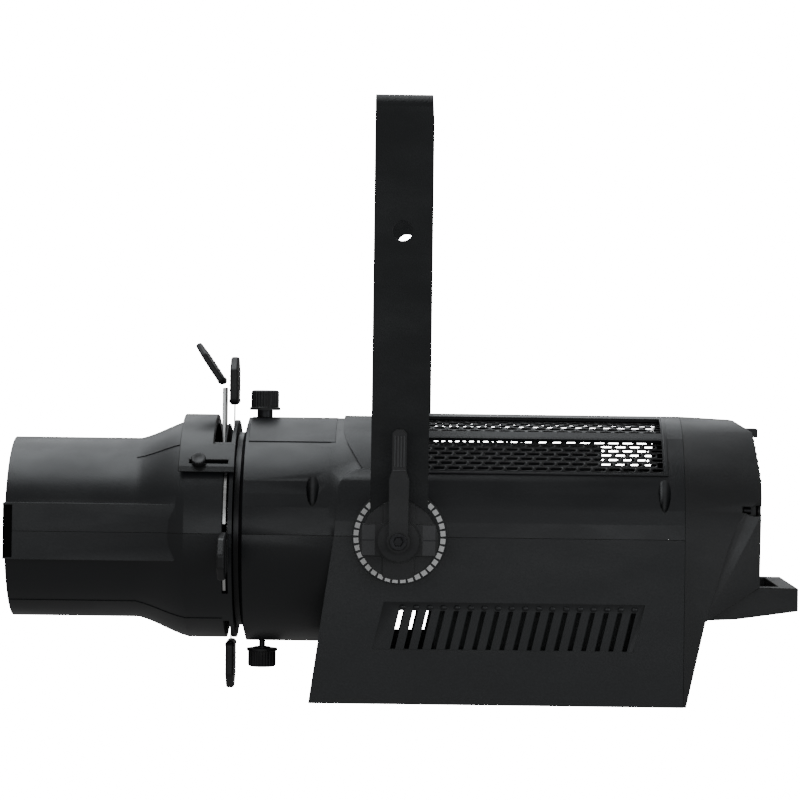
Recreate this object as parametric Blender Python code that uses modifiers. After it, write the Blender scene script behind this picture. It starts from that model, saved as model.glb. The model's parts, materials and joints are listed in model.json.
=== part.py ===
"""Ellipsoidal spotlight: lamp housing, rotating barrel with framing shutters, and yoke.

The beam points along -X.  The yoke's tilt axis is the line X = 0 at the height of the
optical axis, Z = 0 is the underside of the base, and Y = 0 is the middle plane.
"""

import math

import bmesh
import bpy
from mathutils import Matrix, Vector

# ---- Driving dimensions, in metres -------------------------------------------------
GAP = 0.0003                # between pieces that touch
AXIS_Z = 0.148              # height of the optical axis above the base
WALL = 0.003                # moulded shells

BODY_R = 0.1075             # arch of the housing, and half its width
BODY_REAR_X = 0.252
FRONT_R = 0.1018            # round front of the housing
FRONT_X = -0.143            # front face of the housing
STEP_X = -0.057             # where the round front grows into the arch
LINING_X = -0.020           # where the thick front of the arch thins to its wall
LIP_R = 0.080               # bore in the front face that the barrel turns in
BASE_FRONT_X = -0.079       # front lower corner of the base
BASE_TOP_X = -0.058         # its front edge at the optical axis

COVER_REAR_X = 0.320        # flat back of the rear cover
COVER_KNEE_Z = 0.106        # lower edge of that flat back
COVER_FOOT_X = 0.255
HANDLE_REAR_X = 0.3555
HANDLE_HALF = 0.080
HANDLE_BAR = 0.016

VENT_FRONT_X = -0.010
VENT_REAR_X = 0.233
VENT_BANDS = ((33.0, 54.0), (60.0, 79.0))   # degrees above the horizontal
LOUVRES = 18
LOUVRE_PITCH = 0.01204
LOUVRE_FIRST_X = -0.005
LOUVRE_LOW_Z = 0.049
LOUVRE_HIGH_Z = 0.083
LOUVRE_WIDTH = 0.0044
LOUVRE_LEAN = math.radians(13)
PANEL_DEPTH = 0.0012

BARREL_R = 0.0817           # long front part of the barrel
BARREL_FRONT_X = -0.3526
FLARE_FRONT_X = -0.238
FLARE_REAR_X = -0.192
GATE_R = 0.0993             # wide rear part of the barrel
BARREL_REAR_X = -0.149
RAIL_HALF = 0.025           # flat rails along both sides of the barrel
RAIL_Y = 0.094
RAIL_REAR_X = -0.200
RAIL_NOTCH = 0.0086
NOTCH_DEPTH = 0.0016
NECK_R = 0.0883

GATE_APERTURE_R = 0.040
BLADE_T = 0.0006
BLADE_X = -0.1537           # first shutter's plane
BLADE_PITCH = 0.0009
SHUTTER_SLOT = (-0.158, -0.1525)
ACCESSORY_SLOT_X = -0.168
SLOT_HALF = 0.0585
SIDE_SLOT_HALF = 0.054
GRIP_LENGTH = 0.044
GRIP_HALF = 0.019
GRIP_T = 0.0075
PATTERN_GRIP_T = 0.0055

FOCUS_BACK = 0.015
FOCUS_OUT = 0.010
TUBE_CLEARANCE = 0.0022     # around the lens tube, in the barrel
TUBE_WALL = 0.002
FOCUS_KNOB_X = -0.290

COVER_BAND_CLEARANCE = 0.001    # between the gate and the sliding slot cover
COVER_BAND_T = 0.004
SCREW_ANGLE = 37.5          # thumbscrews, in degrees above the horizontal
SCREW_SLOT_HALF = 1.15      # half the width of their slots, in degrees
SCREW_X = -0.180

KNOB_X = -0.126
KNOB_R = 0.0128
KNOB_STEM_R = 0.003

YOKE_HALF = 0.160           # half the yoke's outside width
YOKE_T = 0.005
YOKE_WIDTH = 0.050
YOKE_TOP = 0.387            # above the tilt axis
YOKE_BEND = 0.011
YOKE_HOLE_R = 0.00875
YOKE_HOLE_Z = 0.268
CLAMP_HOLE_R = 0.0065
PIVOT_R = 0.005
PIVOT_CLEARANCE = 0.0005
BOSS_R = 0.042
BOSS_RISE = 0.0045          # of the bosses above the sides of the housing
DISC_R = 0.035
DISC_T = 0.0047
LEVER_LENGTH = 0.096
LEVER_HALF = 0.0086
LEVER_TIP_HALF = 0.0061
LEVER_NECK = 0.061          # where the arm narrows to its tip, above the tilt axis

SIDES = 52                  # flats on the large round shells
RING_SIDES = 32             # and on the smaller rings

# ---- Scene ---------------------------------------------------------------------------
for old in list(bpy.data.objects):
    bpy.data.objects.remove(old, do_unlink=True)

parts = bpy.data.collections.new("ellipsoidal_spotlight")
cutters = bpy.data.collections.new("cutters")
bpy.context.scene.collection.children.link(parts)
bpy.context.scene.collection.children.link(cutters)


def material(name, colour, roughness, metallic=0.0):
    made = bpy.data.materials.new(name)
    made.use_nodes = True
    shader = made.node_tree.nodes["Principled BSDF"]
    shader.inputs["Base Color"].default_value = (*colour, 1.0)
    shader.inputs["Roughness"].default_value = roughness
    shader.inputs["Metallic"].default_value = metallic
    return made


CAST = material("black_casting", (0.018, 0.019, 0.021), 0.45)
MOULDED = material("black_moulding", (0.020, 0.020, 0.022), 0.50)
PAINTED = material("black_steel", (0.015, 0.016, 0.018), 0.38, 0.3)
GRIP = material("black_plastic", (0.014, 0.014, 0.015), 0.55)
STEEL = material("bright_steel", (0.70, 0.71, 0.72), 0.25, 1.0)
ALLOY = material("alloy", (0.62, 0.63, 0.65), 0.35, 1.0)
GLASS = material("clear_glass", (0.85, 0.90, 0.92), 0.05)


# ---- Shape helpers ---------------------------------------------------------------------
def place(name, mesh, finish, matrix=None):
    """Add a mesh as a part, or as a hidden cutter where it has no finish."""
    mesh.name = name
    made = bpy.data.objects.new(name, mesh)
    made.matrix_world = matrix or Matrix.Identity(4)
    if finish is None:
        cutters.objects.link(made)
        made.hide_render = True
        made.display_type = "WIRE"
    else:
        parts.objects.link(made)
        mesh.materials.append(finish)
        mesh.shade_smooth()
        mesh.set_sharp_from_angle(angle=math.radians(35))
    return made


def finished(bm, name):
    mesh = bpy.data.meshes.new(name)
    bm.to_mesh(mesh)
    bm.free()
    return mesh


def box(name, low, high, finish=None):
    """A block between two opposite corners."""
    low, high = Vector(low), Vector(high)
    size = high - low
    bm = bmesh.new()
    bmesh.ops.create_cube(bm, size=1.0)
    bmesh.ops.scale(bm, vec=size, verts=bm.verts)
    bmesh.ops.translate(bm, vec=(low + high) / 2, verts=bm.verts)
    return place(name, finished(bm, name), finish)


def rod(name, radius, start, end, finish=None, sides=32):
    """A round bar from one point to another."""
    start, end = Vector(start), Vector(end)
    bm = bmesh.new()
    bmesh.ops.create_cone(
        bm, cap_ends=True, segments=sides, radius1=radius, radius2=radius, depth=(end - start).length
    )
    turn = (end - start).to_track_quat("Z", "Y").to_matrix().to_4x4()
    return place(name, finished(bm, name), finish, Matrix.Translation((start + end) / 2) @ turn)


def turned(name, profile, finish=None, axis=(1, 0, 0), centre=(0, 0, AXIS_Z), sides=SIDES):
    """A closed profile of (place along the axis, radius) points, turned about the axis."""
    ring = [(radius, along) for along, radius in profile]
    area = sum(a[0] * b[1] - b[0] * a[1] for a, b in zip(ring, ring[1:] + ring[:1]))
    if area < 0:
        ring.reverse()
    bm = bmesh.new()
    verts = [bm.verts.new((radius, 0, along)) for radius, along in reversed(ring)]
    for first, second in zip(verts, verts[1:] + verts[:1]):
        if first.co.x > 0 or second.co.x > 0:
            bm.edges.new((first, second))
    turn = Vector(axis).to_track_quat("Z", "Y").to_matrix().to_4x4()
    made = place(name, finished(bm, name), finish, Matrix.Translation(centre) @ turn)
    screw = made.modifiers.new("turn", "SCREW")
    screw.steps = sides
    screw.render_steps = sides
    screw.use_merge_vertices = True
    screw.merge_threshold = 1e-5
    screw.use_smooth_shade = finish is not None
    return made


FACING = {
    "X": Matrix(((0, 0, 1), (1, 0, 0), (0, 1, 0))),
    "Y": Matrix(((1, 0, 0), (0, 0, -1), (0, 1, 0))),
    "Z": Matrix.Identity(3),
}


def plate(name, outlines, axis, low, high, finish=None, matrix=None):
    """Closed outlines cut from a flat sheet that lies across an axis, from low to high."""
    curve = bpy.data.curves.new(name, "CURVE")
    curve.dimensions = "2D"
    curve.fill_mode = "BOTH"
    curve.extrude = abs(high - low) / 2
    for outline in outlines:
        spline = curve.splines.new("POLY")
        spline.points.add(len(outline) - 1)
        for point, (across, up) in zip(spline.points, outline):
            point.co = (across, up, 0, 1)
        spline.use_cyclic_u = True
    guide = bpy.data.objects.new(name + "_outline", curve)
    cutters.objects.link(guide)
    graph = bpy.context.evaluated_depsgraph_get()
    mesh = bpy.data.meshes.new_from_object(guide.evaluated_get(graph))
    bpy.data.objects.remove(guide)
    bm = bmesh.new()
    bm.from_mesh(mesh)
    bpy.data.meshes.remove(mesh)
    bmesh.ops.remove_doubles(bm, verts=bm.verts, dist=1e-6)
    bmesh.ops.recalc_face_normals(bm, faces=bm.faces)
    facing = FACING[axis]
    middle = facing @ Vector((0, 0, 1)) * (low + high) / 2
    if axis == "Y":
        middle = -middle
    stand = Matrix.Translation(middle) @ facing.to_4x4()
    return place(name, finished(bm, name), finish, (matrix or Matrix.Identity(4)) @ stand)


def frame_at(origin, across, along):
    """A matrix whose X runs across, Y along and Z through a flat piece."""
    across, along = Vector(across).normalized(), Vector(along).normalized()
    through = across.cross(along)
    columns = Matrix((across, along, through)).transposed().to_4x4()
    return Matrix.Translation(origin) @ columns


def combine(target, operation, tools):
    for tool in tools:
        step = target.modifiers.new(operation.lower() + "_" + tool.name, "BOOLEAN")
        step.operation = operation
        step.solver = "EXACT"
        step.object = tool


def cut(target, *tools):
    combine(target, "DIFFERENCE", tools)


def add(target, *tools):
    combine(target, "UNION", tools)


def keep(target, *tools):
    combine(target, "INTERSECT", tools)


def circle(radius, sides, across=0.0, up=0.0):
    turn = 2 * math.pi / sides
    return [
        (across + radius * math.cos(turn * i), up + radius * math.sin(turn * i)) for i in range(sides)
    ]


def arc(across, up, radius, first, last, steps):
    """Points of an arc from one angle to another, in degrees."""
    angles = [math.radians(first + (last - first) * i / steps) for i in range(steps + 1)]
    return [(across + radius * math.cos(a), up + radius * math.sin(a)) for a in angles]


def wedge(first, last, inner, outer):
    """A flat wedge about the optical axis, between two angles and two radii."""
    corners = ((inner, first), (outer, first), (outer, last), (inner, last))
    return [
        (r * math.cos(math.radians(a)), AXIS_Z + r * math.sin(math.radians(a))) for r, a in corners
    ]


# ---- Lamp housing: two half shells that meet at the optical axis ----------------------------
SEAM = GAP / 2
ABOVE = box("above_axis", (-0.5, -0.3, AXIS_Z - SEAM), (0.5, 0.3, AXIS_Z + 0.3))
BELOW = box("below_axis", (-0.5, -0.3, AXIS_Z - 0.3), (0.5, 0.3, AXIS_Z + SEAM))
FRONT_BORE = FRONT_R - WALL
STEM_HOLE_R = KNOB_STEM_R + 0.0004
ARCH_START_X = STEP_X - 0.006
SHOULDER_R = BODY_R - WALL


def front_lip():
    """Inside of the round front, from its bore round to the outer chamfer."""
    return [
        (FRONT_X + 0.0045, FRONT_BORE),
        (FRONT_X + WALL, FRONT_BORE - 0.0015),
        (FRONT_X + WALL, LIP_R),
        (FRONT_X, LIP_R),
        (FRONT_X, NECK_R + 0.0007),
        (FRONT_X + 0.0033, FRONT_R),
    ]


def stem_holes():
    """One cutter through the top and the bottom of the round front, for the lock knobs."""
    return rod("knob_holes", STEM_HOLE_R, (KNOB_X, 0, 0), (KNOB_X, 0, 2 * AXIS_Z), sides=16)


SCREW_PLACES = {
    "front_left": (-0.078, 0.0089 - FRONT_R),
    "front_right": (-0.078, FRONT_R - 0.0089),
    "rear_left": (BODY_REAR_X - 0.018, 0.0083 - BODY_R),
    "rear_right": (BODY_REAR_X - 0.018, BODY_R - 0.0083),
}
POCKET_R = 0.0056
POCKET_FLOOR = 0.021
POST_TOP = 0.051
POST_R = POCKET_R + 0.0018
SHANK_R = 0.0015
SCREW_HEAD_R = 0.0034
CROWN_R = 0.1045            # lower crown between the round front and the arch
CROWN_REAR_X = -0.006


def upper_housing():
    shell = turned(
        "upper_housing",
        [
            (ARCH_START_X, FRONT_R),
            (ARCH_START_X, SHOULDER_R),
            (ARCH_START_X + 0.001, BODY_R),
            (BODY_REAR_X, BODY_R),
            (BODY_REAR_X, BODY_R - WALL),
            (LINING_X, BODY_R - WALL),
            (LINING_X, FRONT_BORE),
        ]
        + front_lip(),
        CAST,
    )
    step = turned(
        "side_step",
        [(STEP_X - 0.01, FRONT_R + GAP), (STEP_X - 0.01, BODY_R + 0.0125)]
        + [(-0.030, BODY_R + 0.0125), (-0.030, FRONT_R + GAP)],
    )
    curve = plate(
        "side_step_outline",
        [
            [(-0.10, AXIS_Z - 0.02), (BASE_TOP_X, AXIS_Z - 0.02), (BASE_TOP_X, AXIS_Z)]
            + [(-0.0555, AXIS_Z + 0.030)]
            + arc(-0.034, AXIS_Z + 0.037, 0.022, 165, 90, 5)
            + [(-0.0485, AXIS_Z + 0.082), (STEP_X + 0.0045, AXIS_Z + 0.092), (STEP_X + 0.004, AXIS_Z + 0.13)]
            + [(-0.10, AXIS_Z + 0.13)]
        ],
        "Y",
        -BODY_R - 0.02,
        BODY_R + 0.02,
    )
    keep(step, curve)
    crown = turned(
        "crown_step",
        [(-0.10, CROWN_R), (-0.10, BODY_R + 0.0125)]
        + [(CROWN_REAR_X, BODY_R + 0.0125), (CROWN_REAR_X, CROWN_R)],
    )
    keep(crown, box("crown_side", (-0.2, -0.2, AXIS_Z + 0.0591), (0.1, 0.2, AXIS_Z + 0.2)))
    for name, (x, y) in SCREW_PLACES.items():
        post = rod("post_" + name, POST_R, (x, y, AXIS_Z - 0.001), (x, y, AXIS_Z + POST_TOP), sides=16)
        radius = (FRONT_R if x < 0 else BODY_R) - 0.0006
        ends = [(x - 0.02, 0, AXIS_Z), (x + 0.02, 0, AXIS_Z)]
        keep(post, rod("post_limit_" + name, radius, *ends, sides=SIDES))
        add(shell, post)
    cut(shell, BELOW, step, crown, stem_holes())
    for number, (first, last) in enumerate(VENT_BANDS):
        for side, (start, end) in {"left": (180 - last, 180 - first), "right": (first, last)}.items():
            window = [wedge(start, end, BODY_R - 0.012, BODY_R + 0.02)]
            cut(shell, plate(f"vent_{side}_{number}", window, "X", VENT_FRONT_X, VENT_REAR_X))
    for name, (x, y) in SCREW_PLACES.items():
        pocket = turned(
            "pocket_" + name,
            [(-0.01, 0), (-0.01, SHANK_R + 0.0004), (POCKET_FLOOR, SHANK_R + 0.0004)]
            + [(POCKET_FLOOR, POCKET_R)]
            + [(POST_TOP + 0.02, POCKET_R), (POST_TOP + 0.02, 0)],
            axis=(0, 0, 1),
            centre=(x, y, AXIS_Z),
            sides=16,
        )
        cut(shell, pocket)
        turned(
            "housing_screw_" + name,
            [(0.002, 0), (0.002, SHANK_R), (POCKET_FLOOR + GAP, SHANK_R), (POCKET_FLOOR + GAP, SCREW_HEAD_R)]
            + [(POCKET_FLOOR + 0.003, SCREW_HEAD_R), (POCKET_FLOOR + 0.003, 0)],
            STEEL,
            axis=(0, 0, 1),
            centre=(x, y, AXIS_Z),
            sides=12,
        )


def louvre_outlines():
    lean = math.tan(LOUVRE_LEAN) * (LOUVRE_HIGH_Z - LOUVRE_LOW_Z)
    outlines = []
    for i in range(LOUVRES):
        x = LOUVRE_FIRST_X + i * LOUVRE_PITCH
        half = LOUVRE_WIDTH / 2
        low = [(x - half, LOUVRE_LOW_Z), (x + half, LOUVRE_LOW_Z)]
        high = [(x + lean + half, LOUVRE_HIGH_Z), (x + lean - half, LOUVRE_HIGH_Z)]
        outlines.append(low + high)
    return outlines


def panel_outline():
    """The shallow panel that the louvres stand in, leaning as they do."""
    low, high = LOUVRE_LOW_Z - 0.0005, LOUVRE_HIGH_Z + 0.0075
    lean = math.tan(LOUVRE_LEAN) * (high - low)
    front, rear = LOUVRE_FIRST_X - 0.018, LOUVRE_FIRST_X + (LOUVRES - 1) * LOUVRE_PITCH + 0.008
    return [(front, low), (rear, low), (rear + lean, high), (front + lean, high)]


def lower_housing():
    side = [(BASE_FRONT_X, 0), (BASE_TOP_X, AXIS_Z - SEAM), (BODY_REAR_X, AXIS_Z - SEAM), (BODY_REAR_X, 0)]
    shell = plate("lower_housing", [side], "Y", -BODY_R, BODY_R, CAST)
    lean = (BASE_TOP_X - BASE_FRONT_X) / AXIS_Z
    inside = [(BASE_FRONT_X + WALL - 0.01 * lean, -0.01), (BASE_TOP_X + WALL + 0.01 * lean, AXIS_Z + 0.01)]
    inside += [(BODY_REAR_X + 0.01, AXIS_Z + 0.01), (BODY_REAR_X + 0.01, -0.01)]
    hollow = plate("base_hollow", [inside], "Y", WALL - BODY_R, BODY_R - WALL)
    bore = rod("base_bore", FRONT_BORE + 0.0008, (-0.10, 0, AXIS_Z), (-0.03, 0, AXIS_Z), sides=SIDES)
    front = turned(
        "front_half", [(STEP_X + 0.003, FRONT_R), (STEP_X + 0.003, FRONT_BORE)] + front_lip()
    )
    cut(front, ABOVE)
    cut(shell, hollow, bore)
    add(shell, front)
    cut(shell, stem_holes(), plate("louvres", louvre_outlines(), "Y", -BODY_R - 0.01, BODY_R + 0.01))
    for side, low in {"left": -BODY_R - 0.01, "right": BODY_R - PANEL_DEPTH}.items():
        cut(shell, plate("louvre_panel_" + side, [panel_outline()], "Y", low, low + 0.01 + PANEL_DEPTH))


upper_housing()
lower_housing()

BASE_PLATE_T = 0.003
box(
    "base_plate",
    (BASE_FRONT_X + WALL + 0.001, WALL + GAP - BODY_R, 0),
    (BODY_REAR_X - 0.0005, BODY_R - WALL - GAP, BASE_PLATE_T),
    PAINTED,
)

# ---- Rear cover, with its sockets and its carrying handle -------------------------------------
COVER_X = BODY_REAR_X + GAP
KNEE_X = 0.271
KNEE_Z = 0.076
SOCKET_FRONT_X = COVER_REAR_X - 0.012
CORNER_ANGLE = math.radians(24)


def arch_section(half):
    """Flat sides with a round top, drawn across the optical axis."""
    return [(-half, -0.02), (half, -0.02)] + arc(0, AXIS_Z, half, 0, 180, SIDES // 2)


def cover_side(inset):
    """Side view of the rear cover, with its faces moved inwards by inset."""
    front = COVER_X if inset == 0 else COVER_X - 0.01
    foot = 0.0 if inset == 0 else -0.01
    return [
        (front, foot),
        (COVER_FOOT_X - inset + (0 if inset == 0 else -0.002), foot),
        (KNEE_X - inset, KNEE_Z + inset / 2),
        (COVER_REAR_X - inset, COVER_KNEE_Z + inset / 2),
        (COVER_REAR_X - inset, AXIS_Z + 0.050),
        (COVER_REAR_X - 0.005 - inset, AXIS_Z + BODY_R - 0.0125 - inset / 2),
        (COVER_REAR_X - 0.020 - inset / 2, AXIS_Z + BODY_R - 0.0025 - inset),
        (front, AXIS_Z + BODY_R - inset),
    ]


def corner_cutter(name, y):
    """Takes off a rear side corner, along a slant from the shoulder down to the knee."""
    shoulder = Vector((COVER_REAR_X - 0.010, y, AXIS_Z + 0.062))
    slant = (Vector((KNEE_X, y, KNEE_Z)) - shoulder).normalized()
    outward = Vector((0, math.copysign(1, y), 0))
    rearward = Vector((-slant.z, 0, slant.x))
    normal = (outward * math.cos(CORNER_ANGLE) + rearward * math.sin(CORNER_ANGLE)).normalized()
    square = [(-0.3, -0.3), (0.3, -0.3), (0.3, 0.3), (-0.3, 0.3)]
    stand = frame_at(shoulder, slant, normal.cross(slant))
    return plate(name, [square], "Z", 0, 0.08, matrix=stand)


def rear_cover():
    shell = plate("rear_cover", [cover_side(0)], "Y", -BODY_R, BODY_R, MOULDED)
    keep(shell, plate("cover_section", [arch_section(BODY_R)], "X", 0.24, 0.34))
    hollow = plate("cover_hollow", [cover_side(WALL)], "Y", WALL - BODY_R, BODY_R - WALL)
    keep(hollow, plate("cover_hollow_section", [arch_section(BODY_R - WALL)], "X", 0.23, 0.34))
    cut(shell, hollow)
    for side, y in {"left": -BODY_R, "right": BODY_R}.items():
        cut(shell, corner_cutter("corner_" + side, y))
        cut(hollow, corner_cutter("hollow_corner_" + side, y - math.copysign(WALL, y)))
    inlet_low, inlet_high = (-0.045, AXIS_Z - 0.012), (-0.017, AXIS_Z + 0.012)
    cut(
        shell,
        box(
            "inlet_hole",
            (COVER_REAR_X - 0.03, inlet_low[0] - GAP, inlet_low[1] - GAP),
            (COVER_REAR_X + 0.01, inlet_high[0] + GAP, inlet_high[1] + GAP),
        ),
    )
    box("power_inlet", (SOCKET_FRONT_X, *inlet_low), (COVER_REAR_X - GAP, *inlet_high), GRIP)
    for name, y in {"data_inlet": 0.012, "data_outlet": 0.044}.items():
        start, end = (SOCKET_FRONT_X, y, AXIS_Z), (COVER_REAR_X - GAP, y, AXIS_Z)
        rod(name, 0.012, start, end, STEEL, sides=24)
        inner, outer = COVER_REAR_X - 0.03, COVER_REAR_X + 0.01
        cut(shell, rod(name + "_hole", 0.012 + GAP, (inner, y, AXIS_Z), (outer, y, AXIS_Z), sides=24))


def carry_handle():
    slope = (COVER_KNEE_Z - KNEE_Z) / (COVER_REAR_X - KNEE_X)
    drop = 2 * GAP
    side = [
        (KNEE_X + 0.002, KNEE_Z - drop - 0.0002),
        (KNEE_X + 0.002, KNEE_Z + 0.002 * slope - drop),
        (COVER_REAR_X + 0.001, COVER_KNEE_Z - drop),
        (HANDLE_REAR_X, COVER_KNEE_Z - 0.001),
        (HANDLE_REAR_X, 0.0845),
        (0.300, 0.0765),
    ]
    handle = plate("carry_handle", [side], "Y", -HANDLE_HALF, HANDLE_HALF, GRIP)
    arm = HANDLE_HALF - 0.018
    cut(handle, box("finger_gap", (0.25, -arm, 0.05), (HANDLE_REAR_X - HANDLE_BAR, arm, 0.12)))


rear_cover()
carry_handle()

# ---- Inside the housing ------------------------------------------------------------------------
MESH_R = BODY_R - WALL - 0.001
SINK_HALF = 0.055            # half its width
SINK_TALL = 0.079           # its top, above the optical axis
SINK_X = (0.022, 0.180)
SINK_LOW = 0.0885
SLAB = 0.008
FINS = 11
FIN_T = 0.0016


def vent_mesh():
    low = VENT_BANDS[0][0] - 2
    sheet = turned(
        "vent_mesh",
        [(VENT_FRONT_X - 0.006, MESH_R), (VENT_REAR_X + 0.006, MESH_R)]
        + [(VENT_REAR_X + 0.006, MESH_R - 0.001), (VENT_FRONT_X - 0.006, MESH_R - 0.001)],
        PAINTED,
    )
    edge = AXIS_Z + MESH_R * math.sin(math.radians(low))
    cut(sheet, box("mesh_edge", (-0.1, -0.2, 0), (0.3, 0.2, edge)))


def heat_sink():
    front, rear = SINK_X
    outline = [(front, SINK_HALF), (front, -SINK_HALF)]
    pitch = (2 * SINK_HALF - FIN_T) / (FINS - 1)
    for i in range(FINS):
        y = -SINK_HALF + i * pitch
        outline += [(rear, y), (rear, y + FIN_T)]
        if i < FINS - 1:
            outline += [(front + SLAB, y + FIN_T), (front + SLAB, y + pitch)]
    plate("heat_sink", [outline], "Z", SINK_LOW, AXIS_Z + SINK_TALL, ALLOY)


def light_engine():
    board_rear = SINK_X[0] - GAP
    board_front = board_rear - 0.003
    mouth = board_front - GAP
    rod("led_board", 0.030, (board_front, 0, AXIS_Z), (board_rear, 0, AXIS_Z), STEEL, sides=24)
    turned(
        "collimator",
        [(mouth, 0.016), (mouth, 0.020), (-0.084, 0.050), (-0.102, 0.050)]
        + [(-0.102, 0.0475), (-0.084, 0.0475)],
        ALLOY,
        sides=32,
    )
    turned(
        "condenser_lens",
        [(-0.0865, 0), (-0.0885, 0.030), (-0.0915, 0.047), (-0.0945, 0.047), (-0.099, 0.030), (-0.101, 0)],
        GLASS,
        sides=32,
    )


vent_mesh()
heat_sink()
light_engine()

DRIVER_TOP = 0.085
box("driver_box", (0.030, -0.060, BASE_PLATE_T + GAP), (0.225, 0.060, DRIVER_TOP), GRIP)
box("lamp_bracket", (0.030, -0.050, DRIVER_TOP + GAP), (0.170, 0.050, SINK_LOW - GAP), PAINTED)

FAN_X = (SINK_X[1] + GAP, SINK_X[1] + 0.025)
FAN_R = 0.042
FAN_HALF = 0.046
FAN_BLADES = 7


def cooling_fan():
    front, rear = FAN_X
    low, high = AXIS_Z - FAN_HALF, AXIS_Z + FAN_HALF
    square = [(-FAN_HALF, low), (FAN_HALF, low), (FAN_HALF, high), (-FAN_HALF, high)]
    frame = plate("fan_frame", [square, circle(FAN_R, 32, up=AXIS_Z)], "X", front, rear, GRIP)
    add(
        frame,
        box("fan_strut", (rear - 0.003, -0.044, AXIS_Z - 0.003), (rear - 0.0005, 0.044, AXIS_Z + 0.003)),
        rod("fan_motor", 0.015, (rear - 0.0035, 0, AXIS_Z), (rear - 0.0007, 0, AXIS_Z), sides=24),
    )
    outline = []
    for i in range(FAN_BLADES):
        start = 360 * i / FAN_BLADES
        outline += arc(0, AXIS_Z, 0.016, start, start + 14, 1)
        outline += arc(0, AXIS_Z, FAN_R - 0.002, start + 20, start + 48, 3)
        outline += arc(0, AXIS_Z, 0.016, start + 36, start + 44, 1)
    plate("fan_rotor", [outline], "X", front + 0.003, rear - 0.005, GRIP)


cooling_fan()

# ---- Barrel: two half shells with the gate, the lenses and a neck that turns in the housing -----
BORE_R = BARREL_R - WALL
GATE_BORE = GATE_R - WALL
LENS_TUBE_R = BORE_R - TUBE_CLEARANCE
TUBE_BORE = LENS_TUBE_R - TUBE_WALL


def flare(small, large):
    """Smooth growth from the long front part to the wide rear part."""
    steps = 7
    points = []
    for i in range(steps + 1):
        part = i / steps
        x = FLARE_FRONT_X + (FLARE_REAR_X - FLARE_FRONT_X) * part
        rise = 0.35 * (1 - math.cos(math.pi * part)) / 2 + 0.65 * part
        points.append((x, small + (large - small) * rise))
    return points


def slot_floor(half):
    """How far from the axis a slot's cutter starts, so that it clears the wall at its ends."""
    return math.sqrt(GATE_BORE ** 2 - half ** 2) - 0.012


def barrel_half(name, other_side):
    outside = [(BARREL_FRONT_X, 0), (BARREL_FRONT_X, BARREL_R)] + flare(BARREL_R, GATE_R)
    shell = turned(name, outside + [(BARREL_REAR_X, GATE_R), (BARREL_REAR_X, 0)], CAST)
    rails = box(
        name + "_rails",
        (BARREL_FRONT_X, -RAIL_Y, AXIS_Z - RAIL_HALF),
        (RAIL_REAR_X, RAIL_Y, AXIS_Z + RAIL_HALF),
    )
    inside = [(BARREL_FRONT_X - 0.01, 0), (BARREL_FRONT_X - 0.01, BORE_R)] + flare(BORE_R, GATE_BORE)
    bore = turned(name + "_bore", inside + [(BARREL_REAR_X + 0.01, GATE_BORE), (BARREL_REAR_X + 0.01, 0)])
    inner_y, inner_z = RAIL_Y - WALL, RAIL_HALF - WALL
    notch_y = RAIL_Y - NOTCH_DEPTH
    hollow = box(
        name + "_rail_hollow",
        (BARREL_FRONT_X - 0.02, -inner_y, AXIS_Z - inner_z),
        (RAIL_REAR_X - 0.012, inner_y, AXIS_Z + inner_z),
    )
    add(shell, rails)
    cut(shell, bore, hollow, other_side)
    top = box(
        name + "_top_slot",
        (ACCESSORY_SLOT_X, -SLOT_HALF, AXIS_Z + slot_floor(SLOT_HALF)),
        (SHUTTER_SLOT[1], SLOT_HALF, AXIS_Z + GATE_R + 0.02),
    )
    bottom = box(
        name + "_bottom_slot",
        (SHUTTER_SLOT[0], -SLOT_HALF, AXIS_Z - GATE_R - 0.02),
        (SHUTTER_SLOT[1], SLOT_HALF, AXIS_Z - slot_floor(SLOT_HALF)),
    )
    cut(shell, top if other_side is BELOW else bottom)
    inner, outer = slot_floor(SIDE_SLOT_HALF), GATE_R + 0.02
    for side, (near, far) in {"left": (-outer, -inner), "right": (inner, outer)}.items():
        slot = box(
            f"{name}_slot_{side}",
            (SHUTTER_SLOT[0], near, AXIS_Z - SIDE_SLOT_HALF),
            (SHUTTER_SLOT[1], far, AXIS_Z + SIDE_SLOT_HALF),
        )
        notch = box(
            f"{name}_notch_{side}",
            (BARREL_FRONT_X - 0.01, near if near < 0 else notch_y, AXIS_Z - inner_z - 0.0015),
            (BARREL_FRONT_X + RAIL_NOTCH, -notch_y if near < 0 else far, AXIS_Z + inner_z + 0.0015),
        )
        cut(shell, slot, notch)
    knob_slot = box(
        name + "_focus_slot",
        (FOCUS_KNOB_X - FOCUS_OUT - 0.004, RAIL_Y - 0.009, AXIS_Z - 0.0035),
        (FOCUS_KNOB_X + FOCUS_BACK + 0.004, RAIL_Y + 0.026, AXIS_Z + 0.0035),
    )
    cut(shell, knob_slot)
    if other_side is BELOW:
        cut(shell, *(thumbscrew_hole(side) for side in (-1, 1)))
    return shell


def screw_direction(side):
    """Outward direction of a thumbscrew, square to the barrel's wall."""
    angle = math.radians(SCREW_ANGLE)
    return Vector((0, side * math.cos(angle), math.sin(angle)))


def thumbscrew_hole(side):
    out = screw_direction(side)
    centre = Vector((SCREW_X, 0, AXIS_Z))
    inner, outer = GATE_R - 0.0093, GATE_R + 0.0057
    return rod(f"thumbscrew_hole_{side}", 0.0018, centre + out * inner, centre + out * outer, sides=12)


barrel_half("barrel_upper_half", BELOW)
barrel_half("barrel_lower_half", ABOVE)

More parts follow.
